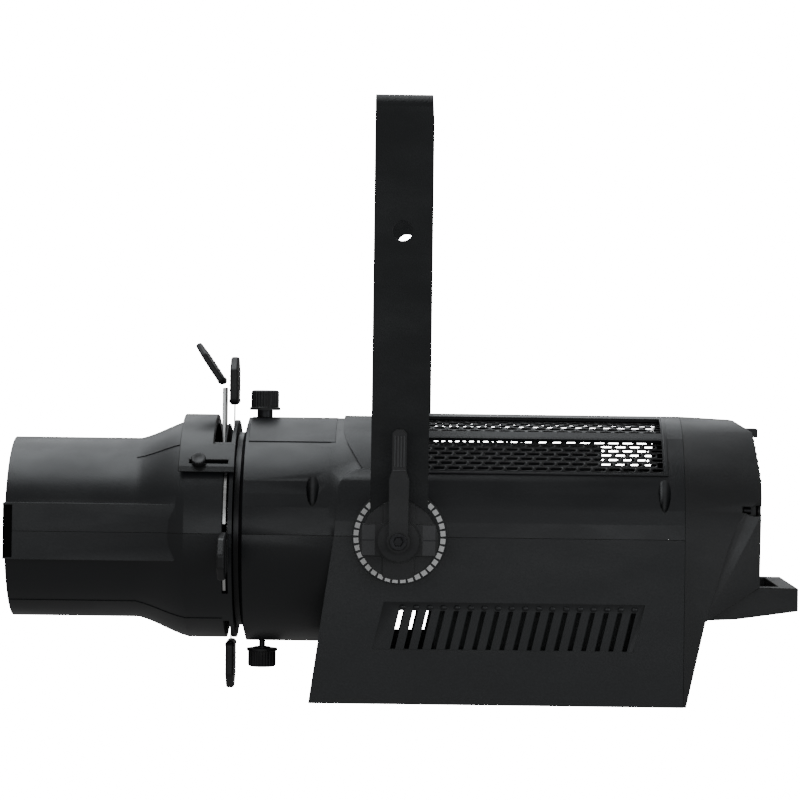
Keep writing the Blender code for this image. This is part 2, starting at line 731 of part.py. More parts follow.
GATE_PLATE_R = GATE_BORE - 0.0005
REAR_PLATE_X = (-0.152, -0.1495)
FRONT_PLATE_X = (-0.1592, -0.1574)
for plate_name, (front, rear) in {"gate_rear_plate": REAR_PLATE_X, "gate_front_plate": FRONT_PLATE_X}.items():
    discs = [circle(GATE_PLATE_R, SIDES, up=AXIS_Z), circle(GATE_APERTURE_R, 24, up=AXIS_Z)]
    plate(plate_name, discs, "X", front, rear, PAINTED)

turned(
    "rotation_ring",
    [
        (-0.1485, 0.074),
        (-0.1485, NECK_R),
        (FRONT_X - GAP, NECK_R),
        (FRONT_X - GAP, LIP_R - 0.001),
        (KNOB_X - 0.004, LIP_R - 0.001),
        (KNOB_X - 0.004, LIP_R + 0.006),
        (KNOB_X + 0.004, LIP_R + 0.006),
        (KNOB_X + 0.004, 0.074),
    ],
    PAINTED,
    sides=RING_SIDES,
)

FIELD_LENS_X = (-0.242, -0.234)
HOLDER_BORE = BORE_R - 0.0092
FIELD_LENS_R = HOLDER_BORE - 0.0005
turned(
    "field_lens_holder",
    [(FIELD_LENS_X[0], HOLDER_BORE), (FIELD_LENS_X[0], BORE_R - 0.0005)]
    + [(FLARE_FRONT_X - 0.0005, BORE_R - 0.0005), (FLARE_FRONT_X - 0.0005, HOLDER_BORE)],
    PAINTED,
    sides=RING_SIDES,
)
turned(
    "field_lens",
    [(-0.2455, 0), (-0.2405, FIELD_LENS_R), (-0.2355, FIELD_LENS_R), (-0.2305, 0)],
    GLASS,
    sides=32,
)

# ---- Lens tube, which slides in the barrel to focus ------------------------------------------------
TUBE_X = (-0.340, -0.262)
FRONT_LENS_R = TUBE_BORE - 0.0007
RETAINER_R = (TUBE_BORE - 0.0055, TUBE_BORE - GAP)
turned(
    "lens_tube",
    [(TUBE_X[0], TUBE_BORE), (TUBE_X[0], LENS_TUBE_R), (TUBE_X[1], LENS_TUBE_R), (TUBE_X[1], TUBE_BORE)],
    PAINTED,
    sides=RING_SIDES,
)
turned(
    "front_lens",
    [(-0.334, 0), (-0.331, 0.040), (-0.326, FRONT_LENS_R)]
    + [(-0.322, FRONT_LENS_R), (-0.318, 0.040), (-0.316, 0)],
    GLASS,
    sides=RING_SIDES,
)
turned(
    "lens_retainer",
    [(-0.338, RETAINER_R[0]), (-0.338, RETAINER_R[1])]
    + [(-0.3325, RETAINER_R[1]), (-0.3325, RETAINER_R[0])],
    PAINTED,
    sides=RING_SIDES,
)
turned(
    "focus_knob",
    [(LENS_TUBE_R + GAP, 0), (LENS_TUBE_R + GAP, 0.0025), (RAIL_Y + 0.0025, 0.0025)]
    + [(RAIL_Y + 0.0025, 0.012), (RAIL_Y + 0.016, 0.011), (RAIL_Y + 0.016, 0)],
    GRIP,
    axis=(0, 1, 0),
    centre=(FOCUS_KNOB_X, 0, AXIS_Z),
    sides=24,
)


# ---- Framing shutters and the pattern holder -----------------------------------------------------------
def grip(name, origin, across, along, thick=GRIP_T):
    """A flat moulded handle with a pointed tip, standing on its origin."""
    outline = [
        (-GRIP_HALF + 0.003, 0),
        (GRIP_HALF - 0.003, 0),
        (GRIP_HALF, 0.004),
        (GRIP_HALF, GRIP_LENGTH - 0.012),
        (0.006, GRIP_LENGTH),
        (-0.006, GRIP_LENGTH),
        (-GRIP_HALF, GRIP_LENGTH - 0.012),
        (-GRIP_HALF, 0.004),
    ]
    plate(name, [outline], "Z", -thick / 2, thick / 2, GRIP, frame_at(origin, across, along))


# Each shutter: direction in degrees about the optical axis, and where its handle starts.
SHUTTERS = {
    "top": (90.0, GATE_R + 0.0137),
    "bottom": (270.0, GATE_R + 0.0022),
    "left": (188.7, GATE_R + 0.0047),
    "right": (0.0, GATE_R + 0.0047),
}


def shutter(name, angle, start, plane):
    turn = math.radians(angle)
    along = Vector((0, math.cos(turn), math.sin(turn)))
    across = Vector((0, -along.z, along.y))
    x = BLADE_X - plane * BLADE_PITCH
    middle = Vector((x, 0, AXIS_Z))
    blade = [(-0.038, 0.004), (0.038, 0.004), (0.038, 0.038), (0.012, 0.058), (0.007, 0.058)]
    blade += [(0.007, start - GAP), (-0.007, start - GAP), (-0.007, 0.058), (-0.012, 0.058), (-0.038, 0.038)]
    stand = frame_at(middle, across, along)
    plate(f"shutter_blade_{name}", [blade], "Z", -BLADE_T / 2, BLADE_T / 2, STEEL, stand)
    grip(f"shutter_handle_{name}", middle + along * start, across, along)


for plane, (shutter_name, (angle, start)) in enumerate(SHUTTERS.items()):
    shutter(shutter_name, angle, start, plane)

HOLDER_X = (-0.164, -0.161)
HOLDER_STEM_TOP = GATE_R + 0.0292
HOLDER_TILT = math.radians(34)
holder = [(-0.044, -0.050), (0.044, -0.050), (0.044, 0.055), (0.016, 0.064)]
holder += [(0.016, HOLDER_STEM_TOP), (-0.016, HOLDER_STEM_TOP), (-0.016, 0.064), (-0.044, 0.055)]
plate(
    "pattern_holder",
    [[(y, AXIS_Z + z) for y, z in holder], circle(0.037, 32, up=AXIS_Z)],
    "X",
    *HOLDER_X,
    STEEL,
)
grip(
    "pattern_handle",
    ((HOLDER_X[0] + HOLDER_X[1]) / 2 - 0.001, 0, AXIS_Z + HOLDER_STEM_TOP + 0.0035),
    (0, 1, 0),
    (-math.sin(HOLDER_TILT), 0, math.cos(HOLDER_TILT)),
    PATTERN_GRIP_T,
)


# ---- Sliding slot cover and its two thumbscrews ------------------------------------------------------------
COVER_BAND_R = GATE_R + COVER_BAND_CLEARANCE
BAND_OUTER = COVER_BAND_R + COVER_BAND_T


def slot_cover():
    ring = turned(
        "slot_cover",
        [(-0.198, COVER_BAND_R), (-0.198, BAND_OUTER), (-0.148, BAND_OUTER), (-0.148, COVER_BAND_R)],
        PAINTED,
    )
    cut(
        ring,
        box("band_lower_edge", (-0.3, -0.2, 0), (0.0, 0.2, AXIS_Z + 0.0543)),
        box("band_rear_edge", (ACCESSORY_SLOT_X, -0.2, AXIS_Z + 0.0789), (0.0, 0.2, AXIS_Z + 0.2)),
    )
    for side, middle in {"left": 180 - SCREW_ANGLE, "right": SCREW_ANGLE}.items():
        slot = wedge(middle - SCREW_SLOT_HALF, middle + SCREW_SLOT_HALF, GATE_BORE, BAND_OUTER + 0.01)
        cut(ring, plate("band_slot_" + side, [slot], "X", -0.188, -0.154))


slot_cover()
for screw_name, side in {"thumbscrew_left": -1, "thumbscrew_right": 1}.items():
    turned(
        screw_name,
        [(GATE_BORE - 0.0018, 0), (GATE_BORE - 0.0018, 0.0013), (BAND_OUTER + 0.0005, 0.0013)]
        + [(BAND_OUTER + 0.0005, 0.0065), (BAND_OUTER + 0.0055, 0.0062), (BAND_OUTER + 0.0055, 0)],
        GRIP,
        axis=screw_direction(side),
        centre=(SCREW_X, 0, AXIS_Z),
        sides=20,
    )

# ---- Knobs that lock the barrel's rotation --------------------------------------------------
KNOB_TIP = LIP_R + 0.006 + GAP
KNOB_COLLAR_R = FRONT_R + 0.0004
KNOB_SEAT_R = FRONT_R + 0.0067
turned(
    "rotation_knob_top",
    [(KNOB_TIP, 0), (KNOB_TIP, KNOB_STEM_R), (KNOB_COLLAR_R, KNOB_STEM_R), (KNOB_COLLAR_R, 0.0075)]
    + [(KNOB_SEAT_R, 0.0075), (KNOB_SEAT_R, KNOB_R + 0.0012), (KNOB_SEAT_R + 0.0025, KNOB_R + 0.0012)]
    + [(KNOB_SEAT_R + 0.0025, KNOB_R), (KNOB_SEAT_R + 0.0183, KNOB_R), (KNOB_SEAT_R + 0.0183, 0)],
    GRIP,
    axis=(0, 0, 1),
    centre=(KNOB_X, 0, AXIS_Z),
    sides=20,
)
turned(
    "rotation_knob_bottom",
    [(KNOB_TIP, 0), (KNOB_TIP, KNOB_STEM_R), (KNOB_SEAT_R + 0.0005, KNOB_STEM_R)]
    + [(KNOB_SEAT_R + 0.0005, KNOB_R + 0.0012), (KNOB_SEAT_R + 0.003, KNOB_R + 0.0012)]
    + [(KNOB_SEAT_R + 0.003, KNOB_R), (KNOB_SEAT_R + 0.0175, KNOB_R), (KNOB_SEAT_R + 0.0175, 0)],
    GRIP,
    axis=(0, 0, -1),
    centre=(KNOB_X, 0, AXIS_Z),
    sides=20,
)

# ---- Yoke and its tilt clamps -----------------------------------------------------------------
PIVOT_HOLE_R = PIVOT_R + PIVOT_CLEARANCE
BOSS_Y = BODY_R + BOSS_RISE


def yoke():
    top = AXIS_Z + YOKE_TOP
    foot = AXIS_Z - YOKE_WIDTH / 2
    inner = YOKE_HALF - YOKE_T
    bend_y, bend_z = YOKE_HALF - YOKE_BEND, top - YOKE_BEND
    outline = [(YOKE_HALF, foot)] + arc(bend_y, bend_z, YOKE_BEND, 0, 90, 5)
    outline += arc(-bend_y, bend_z, YOKE_BEND, 90, 180, 5) + [(-YOKE_HALF, foot), (-inner, foot)]
    outline += arc(-bend_y, bend_z, YOKE_BEND - YOKE_T, 180, 90, 5)
    outline += arc(bend_y, bend_z, YOKE_BEND - YOKE_T, 90, 0, 5) + [(inner, foot)]
    strap = plate("yoke", [outline], "X", -YOKE_WIDTH / 2, YOKE_WIDTH / 2, PAINTED)
    half = YOKE_WIDTH / 2
    hole_z = AXIS_Z + YOKE_HOLE_Z
    end_r = half + 0.0002
    ends = arc(0, AXIS_Z, end_r, 180, 360, 16) + [(end_r, top + 0.01), (-end_r, top + 0.01)]
    keep(strap, plate("strap_ends", [ends], "Y", -0.18, 0.18))
    cut(
        strap,
        rod("tilt_holes", PIVOT_HOLE_R, (0, -0.2, AXIS_Z), (0, 0.2, AXIS_Z), sides=24),
        rod("side_holes", YOKE_HOLE_R, (0, -0.2, hole_z), (0, 0.2, hole_z), sides=24),
        rod("clamp_hole", CLAMP_HOLE_R, (0, 0, top - 0.02), (0, 0, top + 0.02), sides=24),
    )


def span(side, near, far):
    """Low and high Y of a piece on one side of the housing."""
    return (near, far) if side > 0 else (-far, -near)


def tilt_clamp(name, side):
    boss = plate(
        "pivot_boss_" + name,
        [circle(BOSS_R, 36, up=AXIS_Z), circle(PIVOT_HOLE_R, 16, up=AXIS_Z)],
        "Y",
        *span(side, BODY_R - 0.0155, BOSS_Y),
        CAST,
    )
    seat = plate("boss_seat_" + name, [arch_section(BODY_R + GAP)], "X", -0.06, 0.06)
    cut(boss, seat)
    rings = {
        "tilt_spacer_": (0.030, BOSS_Y + GAP, YOKE_HALF - YOKE_T - GAP, ALLOY),
        "pressure_disc_": (DISC_R, YOKE_HALF + GAP, YOKE_HALF + DISC_T, GRIP),
    }
    for ring_name, (radius, near, far, finish) in rings.items():
        outlines = [circle(radius, 32, up=AXIS_Z), circle(PIVOT_HOLE_R, 16, up=AXIS_Z)]
        plate(ring_name + name, outlines, "Y", *span(side, near, far), finish)
    hub_near = YOKE_HALF + DISC_T + GAP
    lever = plate(
        "clamp_lever_" + name,
        [circle(0.018, 32, up=AXIS_Z)],
        "Y",
        *span(side, hub_near, hub_near + 0.0100),
        GRIP,
    )
    tip = AXIS_Z + LEVER_LENGTH
    side_points = [(LEVER_HALF, AXIS_Z + LEVER_NECK - 0.008), (LEVER_TIP_HALF, AXIS_Z + LEVER_NECK)]
    side_points += [(LEVER_TIP_HALF, tip - 0.003), (LEVER_TIP_HALF - 0.003, tip)]
    arm_outline = arc(0, AXIS_Z, 0.0100, 145, 395, 14) + side_points
    arm_outline += [(-across, up) for across, up in reversed(side_points)]
    arm = plate("lever_arm_" + name, [arm_outline], "Y", *span(side, hub_near + 0.008, hub_near + 0.022))
    add(lever, arm)
    ends = [(0, side * (hub_near - 0.02), AXIS_Z), (0, side * (hub_near + 0.08), AXIS_Z)]
    cut(lever, rod("lever_hole_" + name, PIVOT_HOLE_R, *ends, sides=24))
    head = hub_near + 0.022 + GAP
    turned(
        "pivot_bolt_" + name,
        [(BODY_R + 0.001, 0), (BODY_R + 0.001, PIVOT_R), (head, PIVOT_R)]
        + [(head, 0.0075), (head + 0.004, 0.0075), (head + 0.004, 0)],
        STEEL,
        axis=(0, side, 0),
        sides=24,
    )


yoke()
tilt_clamp("left", -1)
tilt_clamp("right", 1)
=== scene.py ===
"""Ellipsoidal spotlight on a pale studio floor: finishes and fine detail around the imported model."""
import json
import math

import bmesh
import bpy
from mathutils import Matrix, Vector

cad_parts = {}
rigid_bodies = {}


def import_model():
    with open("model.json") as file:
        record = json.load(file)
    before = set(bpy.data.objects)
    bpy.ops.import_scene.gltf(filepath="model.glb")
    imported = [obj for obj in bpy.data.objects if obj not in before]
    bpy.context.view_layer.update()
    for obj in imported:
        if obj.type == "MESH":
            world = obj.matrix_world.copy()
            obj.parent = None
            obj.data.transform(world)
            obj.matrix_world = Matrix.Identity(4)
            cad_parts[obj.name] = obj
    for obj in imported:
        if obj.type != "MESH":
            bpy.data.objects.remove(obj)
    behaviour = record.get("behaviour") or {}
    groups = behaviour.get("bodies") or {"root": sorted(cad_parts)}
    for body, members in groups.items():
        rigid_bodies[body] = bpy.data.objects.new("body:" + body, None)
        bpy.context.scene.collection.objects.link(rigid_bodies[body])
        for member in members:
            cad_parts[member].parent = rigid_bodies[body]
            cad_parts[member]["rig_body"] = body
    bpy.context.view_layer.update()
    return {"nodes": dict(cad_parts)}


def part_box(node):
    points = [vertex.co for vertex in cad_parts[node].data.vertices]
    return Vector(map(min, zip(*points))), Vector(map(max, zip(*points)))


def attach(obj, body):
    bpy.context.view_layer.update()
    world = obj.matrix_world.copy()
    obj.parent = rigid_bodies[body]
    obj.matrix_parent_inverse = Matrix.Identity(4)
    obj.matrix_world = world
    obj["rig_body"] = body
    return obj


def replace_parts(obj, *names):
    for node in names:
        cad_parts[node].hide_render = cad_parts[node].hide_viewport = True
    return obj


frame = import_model()
nodes = frame["nodes"]


# ---- Camera ------------------------------------------------------------------------------
# The lamp is seen square on from its left side, from three metres away and a little
# above the optical axis, with the view rolled a fraction of a degree.
bolt_low, bolt_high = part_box("pivot_bolt_left")
AXIS_Z = (bolt_low.z + bolt_high.z) / 2     # the optical axis crosses the tilt axis
DISTANCE, AIM_X, RISE = 3.006, 0.0389, 0.1574
ROLL = math.radians(-0.75)
camera_data = bpy.data.cameras.new("camera")
camera_data.lens = 147.8
camera_data.shift_x = -0.0575
camera_data.shift_y = -0.05125
camera = bpy.data.objects.new("camera", camera_data)
camera.location = (AIM_X, -DISTANCE, AXIS_Z + RISE)
camera.rotation_euler = (math.radians(90), ROLL, 0)
bpy.context.scene.collection.objects.link(camera)
bpy.context.scene.camera = camera


# ---- Studio ------------------------------------------------------------------------------
# A pale floor and a white surround.  A soft box over the barrel and a wide one behind the
# lamp make the highlights along the round shells, and two in front lift the flat sides.
def principled(name, colour, roughness, metallic=0.0):
    made = bpy.data.materials.new(name)
    made.use_nodes = True
    shader = made.node_tree.nodes["Principled BSDF"]
    shader.inputs["Base Color"].default_value = (*colour, 1.0)
    shader.inputs["Roughness"].default_value = roughness
    shader.inputs["Metallic"].default_value = metallic
    return made, shader


WHITE = (1.0, 1.0, 1.0, 1.0)
SEEN, LIT = 18.0, 0.24      # brightness of the surround itself, and of the light it gives


def two_strengths(tree, kind):
    """Strength that is high where the surround is seen and low where it only lights."""
    path = tree.nodes.new("ShaderNodeLightPath")
    strength = tree.nodes.new("ShaderNodeMapRange")
    strength.inputs["To Min"].default_value = LIT
    strength.inputs["To Max"].default_value = SEEN
    tree.links.new(path.outputs["Is Camera Ray"], strength.inputs["Value"])
    glow = tree.nodes[kind] if kind in tree.nodes else tree.nodes.new(kind)
    glow.inputs["Color"].default_value = WHITE
    tree.links.new(strength.outputs["Result"], glow.inputs["Strength"])
    return glow


floor_mesh = bpy.data.meshes.new("floor")
floor_bm = bmesh.new()
bmesh.ops.create_circle(floor_bm, cap_ends=True, segments=96, radius=14.0)
floor_bm.to_mesh(floor_mesh)
floor_bm.free()
floor = bpy.data.objects.new("floor", floor_mesh)
floor.location.z = -0.0005
bpy.context.scene.collection.objects.link(floor)
floor_material, _ = principled("pale_floor", (0.86, 0.86, 0.86), 0.9)
floor_tree = floor_material.node_tree
floor_glow = two_strengths(floor_tree, "ShaderNodeEmission")
floor_tree.links.new(floor_glow.outputs[0], floor_tree.nodes["Material Output"].inputs["Surface"])
floor_mesh.materials.append(floor_material)

world = bpy.data.worlds.new("studio")
world.use_nodes = True
bpy.context.scene.world = world
two_strengths(world.node_tree, "Background")


def soft_box(name, place, aim, size, power):
    data = bpy.data.lights.new(name, "AREA")
    data.shape = "RECTANGLE"
    data.size, data.size_y = size
    data.energy = power
    data.color = (0.93, 0.97, 1.0)
    made = bpy.data.objects.new(name, data)
    made.location = place
    made.rotation_euler = (Vector(aim) - Vector(place)).to_track_quat("-Z", "Y").to_euler()
    bpy.context.scene.collection.objects.link(made)
    return made


soft_box("ceiling_front", (-0.66, 0.15, 2.3), (-0.66, 0.1501, 0), (1.3, 2.1), 34)
soft_box("ceiling_rear", (0.1, 2.5, 2.2), (0.05, 0.3, AXIS_Z), (4.4, 2.0), 44)
soft_box("front", (0.0, -3.5, 0.50), (0.0, 0, AXIS_Z), (3.4, 1.0), 13)
soft_box("front_right", (2.7, -2.4, 0.45), (0.1, 0, AXIS_Z), (1.0, 1.3), 21)


# ---- Housing halves ------------------------------------------------------------------------
# Two die-cast half shells that meet at the height of the optical axis.  They are powder
# coated satin black: a fine pebble, faint streaks of handling and a trace of dust on top.
def shader_group(name, inputs, outputs):
    """An empty node group with float or colour sockets, for an effect that materials share."""
    group = bpy.data.node_groups.new(name, "ShaderNodeTree")
    for label, kind, value in inputs:
        socket = group.interface.new_socket(label, in_out="INPUT", socket_type=kind)
        socket.default_value = value
    for label, kind in outputs:
        group.interface.new_socket(label, in_out="OUTPUT", socket_type=kind)
    return group, group.nodes.new("NodeGroupInput"), group.nodes.new("NodeGroupOutput")


FLOAT, COLOUR = "NodeSocketFloat", "NodeSocketColor"


def noise(tree, coordinates, scale, detail=3.0, stretch=None):
    """Noise in metres, stretched along an axis where the finish has a direction."""
    if stretch:
        mapping = tree.nodes.new("ShaderNodeMapping")
        mapping.inputs["Scale"].default_value = stretch
        tree.links.new(coordinates, mapping.inputs["Vector"])
        coordinates = mapping.outputs["Vector"]
    made = tree.nodes.new("ShaderNodeTexNoise")
    made.inputs["Scale"].default_value = scale
    made.inputs["Detail"].default_value = detail
    tree.links.new(coordinates, made.inputs["Vector"])
    return made.outputs["Fac"]


def arithmetic(tree, operation, first, second):
    made = tree.nodes.new("ShaderNodeMath")
    made.operation = operation
    for socket, value in zip(made.inputs, (first, second)):
        if isinstance(value, (int, float)):
            socket.default_value = value
        else:
            tree.links.new(value, socket)
    return made.outputs[0]


def spread(tree, value, low, high, to_low, to_high):
    made = tree.nodes.new("ShaderNodeMapRange")
    for label, number in (("From Min", low), ("From Max", high)):
        made.inputs[label].default_value = number
    for label, number in (("To Min", to_low), ("To Max", to_high)):
        if isinstance(number, (int, float)):
            made.inputs[label].default_value = number
        else:
            tree.links.new(number, made.inputs[label])
    tree.links.new(value, made.inputs["Value"])
    return made.outputs["Result"]


def mixed(tree, share, first, second):
    made = tree.nodes.new("ShaderNodeMix")
    made.data_type = "RGBA"
    tree.links.new(share, made.inputs["Factor"])
    tree.links.new(first, made.inputs[6])
    tree.links.new(second, made.inputs[7])
    return made.outputs[2]


def coat_group():
    group, given, made = shader_group(
        "powder_coat",
        [
            ("Coat", COLOUR, (0.01, 0.01, 0.01, 1)),
            ("Dust", COLOUR, (0.10, 0.10, 0.095, 1)),
            ("Pebble per metre", FLOAT, 900.0),
            ("Sheen low", FLOAT, 0.34),
            ("Sheen high", FLOAT, 0.50),
            ("Dust amount", FLOAT, 0.25),
        ],
        [("Colour", COLOUR), ("Roughness", FLOAT), ("Height", FLOAT)],
    )
    place = group.nodes.new("ShaderNodeTexCoord").outputs["Object"]
    pebble = group.nodes.new("ShaderNodeTexVoronoi")
    group.links.new(place, pebble.inputs["Vector"])
    group.links.new(given.outputs["Pebble per metre"], pebble.inputs["Scale"])
    pebble.feature = "SMOOTH_F1"
    fine = noise(group, place, 2600.0, 2.0)
    smears = noise(group, place, 14.0, 5.0, (1.0, 1.0, 2.2))
    clouds = noise(group, place, 45.0, 4.0)
    facing = group.nodes.new("ShaderNodeNewGeometry").outputs["Normal"]
    split = group.nodes.new("ShaderNodeSeparateXYZ")
    group.links.new(facing, split.inputs[0])
    lying = spread(group, split.outputs["Z"], 0.35, 1.0, 0.0, 1.0)
    dust = arithmetic(group, "MULTIPLY", lying, spread(group, clouds, 0.35, 0.75, 0.2, 1.0))
    dust = arithmetic(group, "MULTIPLY", dust, given.outputs["Dust amount"])
    group.links.new(mixed(group, dust, given.outputs["Coat"], given.outputs["Dust"]), made.inputs["Colour"])
    sheen = spread(group, smears, 0.35, 0.65, given.outputs["Sheen low"], given.outputs["Sheen high"])
    rough = arithmetic(group, "ADD", sheen, arithmetic(group, "MULTIPLY", dust, 0.6))
    group.links.new(rough, made.inputs["Roughness"])
    height = arithmetic(group, "ADD", pebble.outputs["Distance"], arithmetic(group, "MULTIPLY", fine, 0.3))
    group.links.new(height, made.inputs["Height"])
    return group


COAT = coat_group()


def coated(name, colour, pebble=900.0, bump=0.00006, sheen=(0.34, 0.50), dust=0.25, metallic=0.0, level=0.5):
    """A black finish made from the powder coat group."""
    made, shader = principled(name, colour, 0.4, metallic)
    tree = made.node_tree
    coat = tree.nodes.new("ShaderNodeGroup")
    coat.node_tree = COAT
    coat.inputs["Coat"].default_value = (*colour, 1.0)
    coat.inputs["Pebble per metre"].default_value = pebble
    coat.inputs["Sheen low"].default_value, coat.inputs["Sheen high"].default_value = sheen
    coat.inputs["Dust amount"].default_value = dust
    shader.inputs["Specular IOR Level"].default_value = level
    bump_node = tree.nodes.new("ShaderNodeBump")
    bump_node.inputs["Distance"].default_value = bump
    bump_node.inputs["Strength"].default_value = 1.0
    tree.links.new(coat.outputs["Height"], bump_node.inputs["Height"])
    tree.links.new(coat.outputs["Colour"], shader.inputs["Base Color"])
    tree.links.new(coat.outputs["Roughness"], shader.inputs["Roughness"])
    tree.links.new(bump_node.outputs["Normal"], shader.inputs["Normal"])
    return made


def add_piece(name, mesh, finish, body):
    """Link a mesh as a visible piece that rides on a body."""
    made = bpy.data.objects.new(name, mesh)
    bpy.context.scene.collection.objects.link(made)
    mesh.materials.append(finish)
    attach(made, body)
    return made


def mesh_of(bm, name, smooth=30):
    bmesh.ops.recalc_face_normals(bm, faces=bm.faces)
    mesh = bpy.data.meshes.new(name)
    bm.to_mesh(mesh)
    bm.free()
    mesh.shade_smooth()
    mesh.set_sharp_from_angle(angle=math.radians(smooth))
    return mesh


def round_edges(piece, width, segments=2, angle=32, clamp=True):
    bevel = piece.modifiers.new("round_edges", "BEVEL")
    bevel.width = width
    bevel.segments = segments
    bevel.limit_method = "ANGLE"
    bevel.angle_limit = math.radians(angle)
    bevel.use_clamp_overlap = clamp
    bevel.harden_normals = True
    return piece


def carve(piece, *cutters):
    """Cut pockets into a piece, and keep the result as its mesh."""
    for cutter in cutters:
        step = piece.modifiers.new("pocket", "BOOLEAN")
        step.object = cutter
        step.solver = "EXACT"
    graph = bpy.context.evaluated_depsgraph_get()
    mesh = bpy.data.meshes.new_from_object(piece.evaluated_get(graph))
    piece.modifiers.clear()
    piece.data = mesh
    for cutter in cutters:
        bpy.data.objects.remove(cutter)


def skin(name, finish, edge=0.0, harden=True, cutters=()):
    """A smooth copy of a CAD node, with its edges rounded, that is seen in its place."""
    bm = bmesh.new()
    bm.from_mesh(nodes[name].data)
    bmesh.ops.remove_doubles(bm, verts=bm.verts, dist=2e-5)
    bmesh.ops.dissolve_limit(bm, angle_limit=math.radians(0.5), verts=bm.verts, edges=bm.edges)
    piece = add_piece(name + "_skin", mesh_of(bm, name + "_skin"), finish, nodes[name]["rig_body"])
    if cutters:
        carve(piece, *cutters)
    if edge:
        round_edges(piece, edge).modifiers["round_edges"].harden_normals = harden
    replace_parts(piece, name)
    return piece


def block(bm, low, high):
    """Add a block between two corners to a mesh, and return its vertices."""
    low, high = Vector(low), Vector(high)
    verts = bmesh.ops.create_cube(bm, size=1.0)["verts"]
    bmesh.ops.scale(bm, vec=high - low, verts=verts)
    bmesh.ops.translate(bm, vec=(low + high) / 2, verts=verts)
    return verts


CASTING = coated("casting_coat", (0.0100, 0.0108, 0.0124), 1100.0, 0.00005, (0.33, 0.45), 0.10)
SIDES_OF = {"left": -1, "right": 1}
for half in ("upper_housing", "lower_housing"):
    skin(half, CASTING, 0.0006, harden=False)
housing_low, housing_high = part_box("lower_housing")
BODY_R = housing_high.y     # arch of the housing, and half its width
FRONT_X = housing_low.x
FRONT_R = 0.1018            # its round front
SUNK = 0.0001               # how far a raised detail reaches into its wall


def arc_band(name, profile, first, last, thick, finish, body, slot):
    """A thin raised pad: (x, radius) points turned about the optical axis between two angles."""
    steps = max(4, int(abs(last - first) / 2))
    angles = [math.radians(first + (last - first) * i / steps) for i in range(steps + 1)]
    bm = bmesh.new()
    rows = []
    for x, radius in profile:
        lower = [bm.verts.new((x, radius * math.cos(a), AXIS_Z + radius * math.sin(a))) for a in angles]
        high = radius + thick
        upper = [bm.verts.new((x, high * math.cos(a), AXIS_Z + high * math.sin(a))) for a in angles]
        rows.append(lower + upper[::-1])
    for near, far in zip(rows, rows[1:]):
        for i in range(len(near)):
            follow = (i + 1) % len(near)
            bm.faces.new((near[i], near[follow], far[follow], far[i]))
    for row in (rows[0], rows[-1]):
        for i in range(steps):
            bm.faces.new((row[i], row[i + 1], row[-2 - i], row[-1 - i]))
    piece = add_piece(name, mesh_of(bm, name), finish, body)
    return round_edges(piece, thick * 0.45)


FRONT_BAND = [(FRONT_X + 0.006, FRONT_R - SUNK), (-0.0590, FRONT_R - SUNK)]
arc_band("housing_front_band", FRONT_BAND, 53, 127, 0.0007, CASTING, "housing", "black_casting")

VENT_X, VENT_LOW, VENT_HIGH = (-0.010, 0.233), 33.0, 79.0   # angles in degrees above the horizontal
RIM_T = 0.0013
for side, mirror in {"left": True, "right": False}.items():
    rims = {
        "end": (VENT_X[1] + 0.0010, VENT_X[1] + 0.0046, VENT_LOW - 1.6, VENT_HIGH + 1.0),
        "foot": (VENT_X[0], VENT_X[1] + 0.0046, VENT_LOW - 1.8, VENT_LOW - 0.6),
    }
    for rim, (start, end, first, last) in rims.items():
        angles = (180 - last, 180 - first) if mirror else (first, last)
        outline = [(start, BODY_R - 2 * SUNK), (end, BODY_R - 2 * SUNK)]
        arc_band(f"vent_{rim}_{side}", outline, *angles, RIM_T, CASTING, "housing", "black_casting")

LOUVRES, LOUVRE_PITCH, LOUVRE_FIRST_X = 18, 0.01204, -0.005
LOUVRE_FOOT_Z, LOUVRE_HEAD_Z, LOUVRE_LEAN = 0.049, 0.083, math.tan(math.radians(13))
PANEL_DEPTH = 0.0012        # of the recess that holds the louvres
HOOD = Vector((0.0030, 0.0011, 0.0024))
HOOD_RISE = LOUVRE_HEAD_Z - LOUVRE_FOOT_Z + 0.0029
for side, way in SIDES_OF.items():
    hoods = bmesh.new()
    for i in range(LOUVRES):
        x = LOUVRE_FIRST_X + i * LOUVRE_PITCH + LOUVRE_LEAN * HOOD_RISE
        centre = (x, way * (BODY_R - PANEL_DEPTH), LOUVRE_FOOT_Z + HOOD_RISE)
        dome = bmesh.ops.create_uvsphere(hoods, u_segments=16, v_segments=8, radius=1.0)["verts"]
        bmesh.ops.scale(hoods, vec=HOOD, verts=dome)
        bmesh.ops.translate(hoods, vec=centre, verts=dome)
    add_piece("louvre_hoods_" + side, mesh_of(hoods, "louvre_hoods", 60), CASTING, "housing")


# ---- Vent mesh --------------------------------------------------------------------------------
# Black sheet metal behind the vents, punched with staggered rows of round-ended slots.  The
# punched edges are real: the sheet has its thickness, and light falls through the slots.
SHEET = coated("punched_sheet", (0.012, 0.012, 0.013), 1600.0, 0.00002, (0.30, 0.42), 0.15, 0.3)
MESH_R, MESH_T = 0.1034, 0.0008
SLOT_PITCH, ROW_PITCH = 0.0130, 3.1         # metres along, and degrees round
SLOT_LONG, SLOT_HIGH = 0.0102, 0.0030
CROWN_ANGLE, CROWN_SLOT_HIGH = 57.0, 0.0042     # the slots are taller above this angle
MESH_LOW_X, MESH_LOW_ANGLE, ROWS, COLUMNS = -0.018, 31.2, 17, 19


